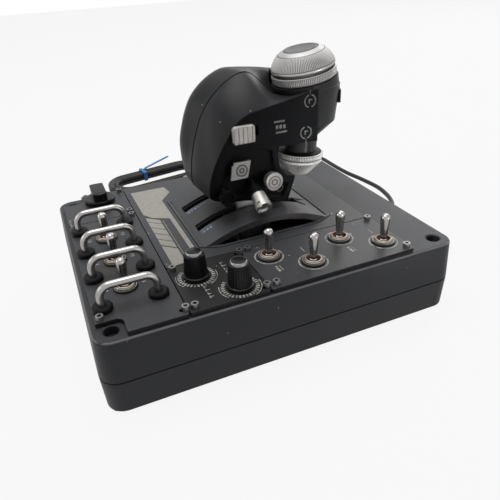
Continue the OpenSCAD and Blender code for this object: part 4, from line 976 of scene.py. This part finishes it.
# The rotary knobs and the selector
# Black fluted knobs on encoder shafts, with a smooth foot and a cap in a bright ring.
# The selector is a disc with a tall finger bar.
KNOB_PROFILE = [
    (0, 0.35), (7.9, 0.35), (8.3, 0.7), (8.3, 2.2), (7.9, 2.5), (7.2, 2.6), (6.05, 16.2), (5.7, 16.6),
    (5.3, 16.7), (5.3, 17.6), (4.9, 18.3), (4.4, 18.6), (0, 18.7),
]
KNOB_RIM_PROFILE = [(4.5, 18.4), (5.42, 16.8), (5.42, 17.5), (5.0, 18.36), (4.6, 18.62)]
FLUTES = 26
knob_black = dusty("knob_black", (0.004, 0.004, 0.0045), (0.2, 0.2, 0.2), 0.32, 0.05, 0.01, 0.2)
knob_rim = turned_metal("knob_rim", (0.22, 0.22, 0.225), 0.3, 0.05)
for k, name in enumerate(KNOBS):
    foot = Matrix.Translation(on_panel(name))
    knob = turned(f"knob_{k + 1}", KNOB_PROFILE, knob_black, [foot])
    flutes = grow(f"knob_{k + 1}_flutes", BAR_RING, {
        "Count": FLUTES, "First": 0.0, "Step": 2 * pi / FLUTES, "From": (7.15 * MM, 0, 2.9 * MM),
        "To": (6.08 * MM, 0, 15.9 * MM), "Width": 0.8 * MM, "Height": 0.8 * MM, "Finish": knob_black,
    }, [on_panel(name)])
    rim = turned(f"knob_{k + 1}_rim", KNOB_RIM_PROFILE, knob_rim, [foot])
    for piece in (knob, flutes, rim):
        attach(piece, f"knob_turn_{k + 1}")
    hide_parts(f"rotary_knob_{k + 1}")
soften("selector_knob", 0.3, knob_black)

# The works inside the case
# Bearings in two uprights carry the lever's shaft, a magnet on its end faces the sensor's board,
# and the switches are wired to the main board.
works_steel = turned_metal("works_steel", (0.45, 0.46, 0.47), 0.35, 0.2)
board_green = dusty("board_green", (0.012, 0.09, 0.04), (0.3, 0.35, 0.3), 0.35, 0.1, 0.1)
body_black = dusty("body_black", (0.02, 0.02, 0.022), DUST, 0.5, 0.1, 0.02)
dress(works_steel, "pivot_brackets", "bearings", "pivot_shaft", "shaft_magnet", "lever_arms", "inner_screws")
dress(board_green, "main_board", "sensor_board")
dress(body_black, "encoder_bodies", "selector_body", "grip_block")

# The grip
# Two moulded shells are screwed together along the middle plane, where a dark line shows. The near one is
# flat on the control side, with a window over a black plate. A nose on the front carries the two knobs.
GRIP_TONE = (0.014, 0.0145, 0.016)
grip_plastic = dusty("grip_plastic", GRIP_TONE, DUST, 0.42, 0.18, 0.09, 0.16)
plate_black = dusty("plate_black", (0.003, 0.003, 0.0035), (0.1, 0.1, 0.1), 0.5, 0.2, 0.01, 0.06)
nose_plastic = dusty("nose_plastic", (0.016, 0.0165, 0.018), DUST, 0.45, 0.2, 0.02, 0.2)
FACE_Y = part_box("near_shell")[0].y
control_black = dusty("control_black", (0.004, 0.0042, 0.005), (0.1, 0.1, 0.1), 0.5, 0.2, 0.01, 0.06)
FAR_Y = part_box("far_shell")[1].y
soften("far_shell", 0.5, grip_plastic, flat=0.05, pick=lambda at: at.y > FAR_Y - 0.2 * MM)
# The near shell's flat control face gets control_black, darker than the rest of the shell: painted shade on
# the side turned away from the lamps.
soften("near_shell", 0.5, grip_plastic, control_black, flat=0.05,
       pick=lambda at: at.y < FACE_Y + 0.2 * MM,
       choose=lambda face: 1 if face.center.y < FACE_Y + 0.4 * MM else 0)
SEAM_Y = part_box("near_shell")[1].y
SEAM_D = 0.8
NOSE_X = 62


def seam_outline(name, level):
    """The points of the longest outline that a shell's joint face has on its outside."""
    form = bmesh.new()
    form.from_mesh(frame["nodes"][name].data)
    bmesh.ops.remove_doubles(form, verts=form.verts, dist=1e-6)
    beside = {}
    for edge in form.edges:
        flat = sum(abs(face.normal.y) > 0.9 for face in edge.link_faces)
        if flat == 1 and all(abs(vert.co.y - level) < 1e-5 for vert in edge.verts):
            for vert in edge.verts:
                beside.setdefault(vert, []).append(edge.other_vert(vert))
    outlines = []
    while beside:
        vert = min(beside, key=lambda v: v.index)
        line = []
        while vert in beside:
            line.append(vert.co.copy())
            vert = next((v for v in beside.pop(vert) if v in beside), None)
        outlines.append(line)
    form.free()
    return max(outlines, key=lambda line: max(at.z for at in line) - min(at.z for at in line))


curve = bpy.data.curves.new("shell_joint", "CURVE")
curve.dimensions = "3D"
curve.bevel_depth = SEAM_D / 2 * MM
curve.bevel_resolution = 1
outline = seam_outline("near_shell", SEAM_Y)
spline = curve.splines.new("POLY")
spline.points.add(len(outline) - 1)
for point, at in zip(spline.points, outline):
    point.co = (*at, 1)
spline.use_cyclic_u = True
route = show("shell_joint_route", curve)
shell_joint = show("shell_joint", bpy.data.meshes.new_from_object(
    route.evaluated_get(bpy.context.evaluated_depsgraph_get())))
bpy.data.objects.remove(route)
smooth_faces(shell_joint.data, 60)
shell_joint.data.materials.clear()
shell_joint.data.materials.append(control_black)
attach(shell_joint, "throttle")
soften("control_plate", 0.2, plate_black)
soften("nose_housing", 0.3, nose_plastic, flat=0, pick=lambda at: at.x > NOSE_X * MM)
dress(dark_steel, "grip_screws")

# The print on the grip
# Marks in worn pale ink on the control side: two ringed marks beside the knobs, bars beside the slide
# switch, and a ring by the push knob.
GRIP_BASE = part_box("upper_case")[1].z / MM
FACE_TURN = Matrix(((1, 0, 0, 0), (0, 0, -1, 0), (0, 1, 0, 0), (0, 0, 0, 1)))


def on_face(x, z, proud=0.0):
    """A frame on the control face: X along the grip, Y up, Z out of the face."""
    return Matrix.Translation((x * MM, FACE_Y - proud * MM, (z + GRIP_BASE) * MM)) @ FACE_TURN


grip_ink = ink("grip_ink", (0.22, 0.21, 0.185), 0.5)
PLATE_DEPTH = 3
PLATE_RING_AT = (31.2, 25.4)
KNOB_MARKS = [(54.3, 86.5, 1), (51.3, 64.8, -1)]
face_marks = [
    bar(30.4, 76, 8.0, 1.3), bar(32.0, 68.4, 8.6, 1.3), bar(28.6, 72.2, 1.9, 2.6), bar(31.4, 72.2, 1.9, 2.6),
    bar(34.2, 72.0, 1.9, 2.6),
]
for x, z, side in KNOB_MARKS:
    face_marks += [
        bar(x, z + side * 6.2, 0.4, 3.4), bar(x - 0.7, z, 0.8, 3.2), bar(x + 0.6, z + 0.9, 1.8, 0.8),
    ]
grip_marks = printed("grip_marks", face_marks, grip_ink, place=on_face(0, 0))
rings = []
for x, z, _ in KNOB_MARKS:
    for start in (-75, 105):
        ring = grow(f"grip_ring_{len(rings) + 1}", ARC, {
            "Radius": 4.2 * MM, "Start": radians(start), "Sweep": radians(150), "Width": 0.9 * MM,
            "Height": 2 * INK_H * MM, "Finish": grip_ink,
        }, [(0, 0, 0)])
        ring.data.transform(on_face(x, z))
        rings.append(ring)
plate_ring = grow("plate_ring", ARC, {
    "Radius": 2.6 * MM, "Start": 0.0, "Sweep": 2 * pi, "Width": 0.5 * MM, "Height": 2 * INK_H * MM,
    "Finish": grip_ink,
}, [(0, 0, 0)])
plate_ring.data.transform(on_face(*PLATE_RING_AT, -PLATE_DEPTH))
for mark in (grip_marks, plate_ring, *rings):
    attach(mark, "throttle")

# The two metal knobs
# Turned aluminium: a knurled ring, a groove, and a knurled cone with a satin rim. The knurl gaps and the
# grooves are painted shade, the upper knob's top rim is painted darker as painted shade, and the lower knob
# is painted lighter as painted light.
# They turn on the nose, and the upper one holds a grey push button in its top.
UPPER_PROFILE = [
    (0, 0.35), (22.7, 0.35), (23.3, 0.95), (23.3, 5.75), (22.9, 6.15), (20.7, 6.15), (20.7, 8.35),
    (23.0, 8.35), (23.3, 8.6), (23.3, 9.1), (23.0, 9.9), (22.3, 11.7), (21.2, 13.95), (18.8, 16.9),
    (16.5, 19.2), (15.9, 19.6), (13.4, 21.0), (12.9, 21.1), (12.6, 20.8), (12.55, 16.2), (0, 16.2),
]
UPPER_TEETH = 112
LOWER_PROFILE = [
    (0, -0.35), (17.5, -0.35), (18.0, -0.75), (18.0, -3.4), (17.5, -3.75), (16.0, -3.75), (16.0, -5.35),
    (17.2, -5.35), (17.6, -5.7), (17.6, -6.4), (17.3, -6.95), (8.3, -17.3), (7.7, -17.75), (0, -17.75),
]
LOWER_TEETH = 90
NECK_SEAL_AND_SHADE = [(12.6, -0.25), (16.8, -0.25), (16.8, 0.15), (14.2, 1.2), (12.6, 1.6)]
BUTTON_PROFILE = [
    (0, 17.9), (12.1, 17.9), (12.2, 18.1), (12.2, 20.7), (11.7, 21.3), (10.8, 21.4), (9.6, 21.0), (6, 20.7),
    (0, 20.6),
]
knob_aluminium = turned_metal("knob_aluminium", (0.42, 0.408, 0.404), 0.5, 0.06)
# knurl_shadow is painted shade: a darker copy of the knob metal for the gaps between knurl teeth and for the
# grooves.
knurl_shadow = turned_metal("knurl_shadow", (0.14, 0.136, 0.135), 0.55, 0.06)
# The lower knob's metal is a lighter, less metallic copy of the knob aluminium: painted light, as if a front
# light fell on it.
lower_knob_painted_light = turned_metal("lower_knob_painted_light", (0.74, 0.72, 0.71), 0.6, 0.06, 0.3)
# A darker copy of the knob metal for the upper knob's top rim: painted shade that tones down the lamps'
# highlight there.
rim_painted_shade = turned_metal("rim_painted_shade", (0.36, 0.35, 0.35), 0.55, 0.06)
button_grey = dusty("button_grey", (0.12, 0.126, 0.123), (0.4, 0.4, 0.4), 0.45, 0.1, 0.03)


def teeth(name, count, start, end, width, place, finish, bulge=(0, 0)):
    ring = grow(name, BAR_RING, {
        "Count": count, "First": 0.0, "Step": 2 * pi / count, "From": Vector((start[0], 0, start[1])) * MM,
        "To": Vector((end[0], 0, end[1])) * MM, "Bulge": Vector((bulge[0], 0, bulge[1])) * MM,
        "Width": width * MM, "Height": width * MM, "Finish": finish,
    }, [(0, 0, 0)])
    ring.data.transform(place)
    return ring


upper_place = joint_place("upper_rotary")
lower_place = joint_place("lower_rotary")


def shade_zones(piece, place, material, zones):
    """Gives zones of a turned piece a second material, by radius and height."""
    piece.data.materials.append(material)
    last = len(piece.data.materials) - 1
    back = place.inverted()
    for face in piece.data.polygons:
        at = back @ face.center / MM
        r = at.xy.length
        if any(r0 < r < r1 and z0 < at.z < z1 for r0, r1, z0, z1 in zones):
            face.material_index = last


upper_ring = turned("upper_knob_turned", UPPER_PROFILE, knob_aluminium, [upper_place], steps=128)
shade_zones(upper_ring, upper_place, knurl_shadow,
            [(16.4, 23.2, 10.1, 19.0), (22.9, 24, 1.0, 5.7), (20, 22.8, 6.1, 8.5)])
shade_zones(upper_ring, upper_place, rim_painted_shade, [(12.6, 16.4, 19.0, 21.2)])
lower_ring = turned("lower_knob_turned", LOWER_PROFILE, lower_knob_painted_light, [lower_place], steps=128)
shade_zones(lower_ring, lower_place, knurl_shadow,
            [(8.4, 17.1, -17.2, -7.0), (17.6, 19, -3.3, -0.8), (15.5, 17.2, -5.3, -3.8)])
upper_cone_teeth = teeth("upper_cone_teeth", UPPER_TEETH, (22.7, 10.5), (17.0, 18.7), 0.7,
                         upper_place, knob_aluminium, (1.1, 0.8))
upper_ring_teeth = teeth("upper_ring_teeth", UPPER_TEETH, (23.25, 1.4), (23.25, 5.4), 0.7,
                         upper_place, knob_aluminium)
lower_ring_teeth = teeth("lower_ring_teeth", LOWER_TEETH, (17.95, -1.0), (17.95, -3.2), 0.7,
                         lower_place, lower_knob_painted_light)
lower_cone_teeth = teeth("lower_cone_teeth", LOWER_TEETH, (16.9, -7.4), (8.7, -16.8), 0.6,
                         lower_place, lower_knob_painted_light)
# A black ring over the lower knob's top face: a rubber seal under the nose, and also painted shade there.
neck_seal_and_shade = turned("neck_seal_and_shade", NECK_SEAL_AND_SHADE, control_black, [lower_place])
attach(neck_seal_and_shade, "throttle")
for piece in (upper_ring, upper_cone_teeth, upper_ring_teeth):
    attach(piece, "upper_turn")
for piece in (lower_ring, lower_ring_teeth, lower_cone_teeth):
    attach(piece, "lower_turn")
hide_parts("upper_knob")
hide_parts("lower_knob")
top_button = turned("top_button", BUTTON_PROFILE, button_grey, [upper_place], steps=96)
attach(top_button, "top_push")
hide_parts("knob_button")

# The slide switch and the nose button
# A ribbed metal cap slides along the control face, in a slot of the grip's near side.
# A black button sits in the side of the nose.
slide_metal = turned_metal("slide_metal", (0.30, 0.285, 0.27), 0.42, 0.1)
soften("slide_switch", 0.9, slide_metal)


def rib_tree():
    tree, given, out = new_tree("row_of_ribs", {
        "Count": "Int", "Step": "Vector", "Size": "Vector", "Finish": "Material",
    })
    line = tree.nodes.new("GeometryNodeMeshLine")
    block = tree.nodes.new("GeometryNodeMeshCube")
    row = tree.nodes.new("GeometryNodeInstanceOnPoints")
    placed = tree.nodes.new("GeometryNodeInstanceOnPoints")
    wire(tree, [
        (given.outputs["Count"], line.inputs["Count"]),
        (given.outputs["Step"], line.inputs["Offset"]),
        (given.outputs["Size"], block.inputs["Size"]),
        (line.outputs["Mesh"], row.inputs["Points"]),
        (block.outputs["Mesh"], row.inputs["Instance"]),
        (given.outputs["Geometry"], placed.inputs["Points"]),
        (row.outputs["Instances"], placed.inputs["Instance"]),
    ])
    end_tree(tree, given, out, placed.outputs["Instances"])
    return tree


RIBS = 5
RIB_W = 1.5
RIB_H = 0.9
slide_low, slide_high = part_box("slide_switch")
rib_length = (slide_high.z - slide_low.z) - 1.6 * MM
rib_step = (slide_high.x - slide_low.x - 3.4 * MM) / (RIBS - 1)
slide_ribs = grow("slide_ribs", rib_tree(), {
    "Count": RIBS, "Step": (rib_step, 0, 0), "Size": (RIB_W * MM, RIB_H * MM, rib_length),
    "Finish": slide_metal,
}, [(slide_low.x + 1.7 * MM, slide_low.y - 0.15 * MM, (slide_low.z + slide_high.z) / 2)])
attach(slide_ribs, "slide_cap")
dress(control_black, "nose_button")

# The hats and the push knob
# Three hats tilt in rings behind the control plate: a flat square cap, a long crowned one and a black
# crowned one. The push knob is a black barrel with a bright ringed face.
PUSH_AT = (22, 36)
SQUARE_AT = (-0.6, 47.6)
CASTLE_TILT = radians(30)
CASTLE_HEAD = 16.5
CASTLE_FROM = on_face(7.7, 38.1, -PLATE_DEPTH).translation
CASTLE_ALONG = Vector((0, -cos(CASTLE_TILT), -sin(CASTLE_TILT)))
PUSH_BARREL = [(0, -2.8), (2.4, -2.8), (2.4, 2.7), (4.7, 2.7), (4.7, 4.6), (5.5, 4.7), (6.2, 8.8), (0, 8.8)]
PUSH_FACE = [
    (0, 8.6), (6.3, 8.6), (6.7, 9.0), (6.7, 10.8), (6.1, 11.35), (4.7, 11.4), (4.6, 10.9), (4.1, 10.9),
    (4.0, 11.4), (2.5, 11.4), (2.4, 10.8), (1.6, 10.8), (1.5, 11.3), (0, 11.3),
]
hat_metal = turned_metal("hat_metal", (0.36, 0.35, 0.335), 0.46, 0.06)
square_grey = turned_metal("square_grey", (0.25, 0.243, 0.232), 0.48, 0.1)
rubber_black = dusty("rubber_black", (0.003, 0.003, 0.0035), (0.1, 0.1, 0.1), 0.55, 0.15, 0.01, 0.06)
ring_black = turned_metal("ring_black", (0.03, 0.03, 0.03), 0.5, 0.1)
dark_ink = ink("dark_ink", (0.03, 0.03, 0.03), 0.2)
soften("square_hat", 0.35, square_grey)
soften("castle_hat", 0.08, rubber_black, hat_metal,
       choose=lambda face: 1 if (face.center - CASTLE_FROM).dot(CASTLE_ALONG) > CASTLE_HEAD * MM else 0)
soften("black_hat", 0.08, rubber_black)
dress(ring_black, "square_gimbal", "castle_gimbal", "black_gimbal")
push_place = on_face(*PUSH_AT, -PLATE_DEPTH)
# The barrel under the teeth is knurl_shadow: dark metal, and painted shade in the gaps between its teeth.
push_barrel = turned("push_barrel", PUSH_BARREL, knurl_shadow, [push_place])
barrel_teeth = teeth("barrel_teeth", 30, (5.5, 4.8), (6.15, 8.5), 0.7, push_place, knob_aluminium)
push_face = turned("push_face", PUSH_FACE, hat_metal, [push_place])
# The grooves in the push knob's face are painted shade.
shade_zones(push_face, push_place, knurl_shadow, [(4.0, 4.7, 10.0, 11.2), (1.5, 2.5, 10.0, 11.2)])
for piece in (push_barrel, barrel_teeth, push_face):
    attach(piece, "push_cap")
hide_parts("push_knob")
square_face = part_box("square_hat")[0].y
for k, radius in enumerate((3.9, 1.5)):
    ring = grow(f"square_ring_mark_{k + 1}", ARC, {
        "Radius": radius * MM, "Start": 0.0, "Sweep": 2 * pi, "Width": 1.0 * MM, "Height": 2 * INK_H * MM,
        "Finish": dark_ink,
    }, [(0, 0, 0)])
    ring.data.transform(on_face(*SQUARE_AT, (FACE_Y - square_face) / MM))
    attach(ring, "square_cap")
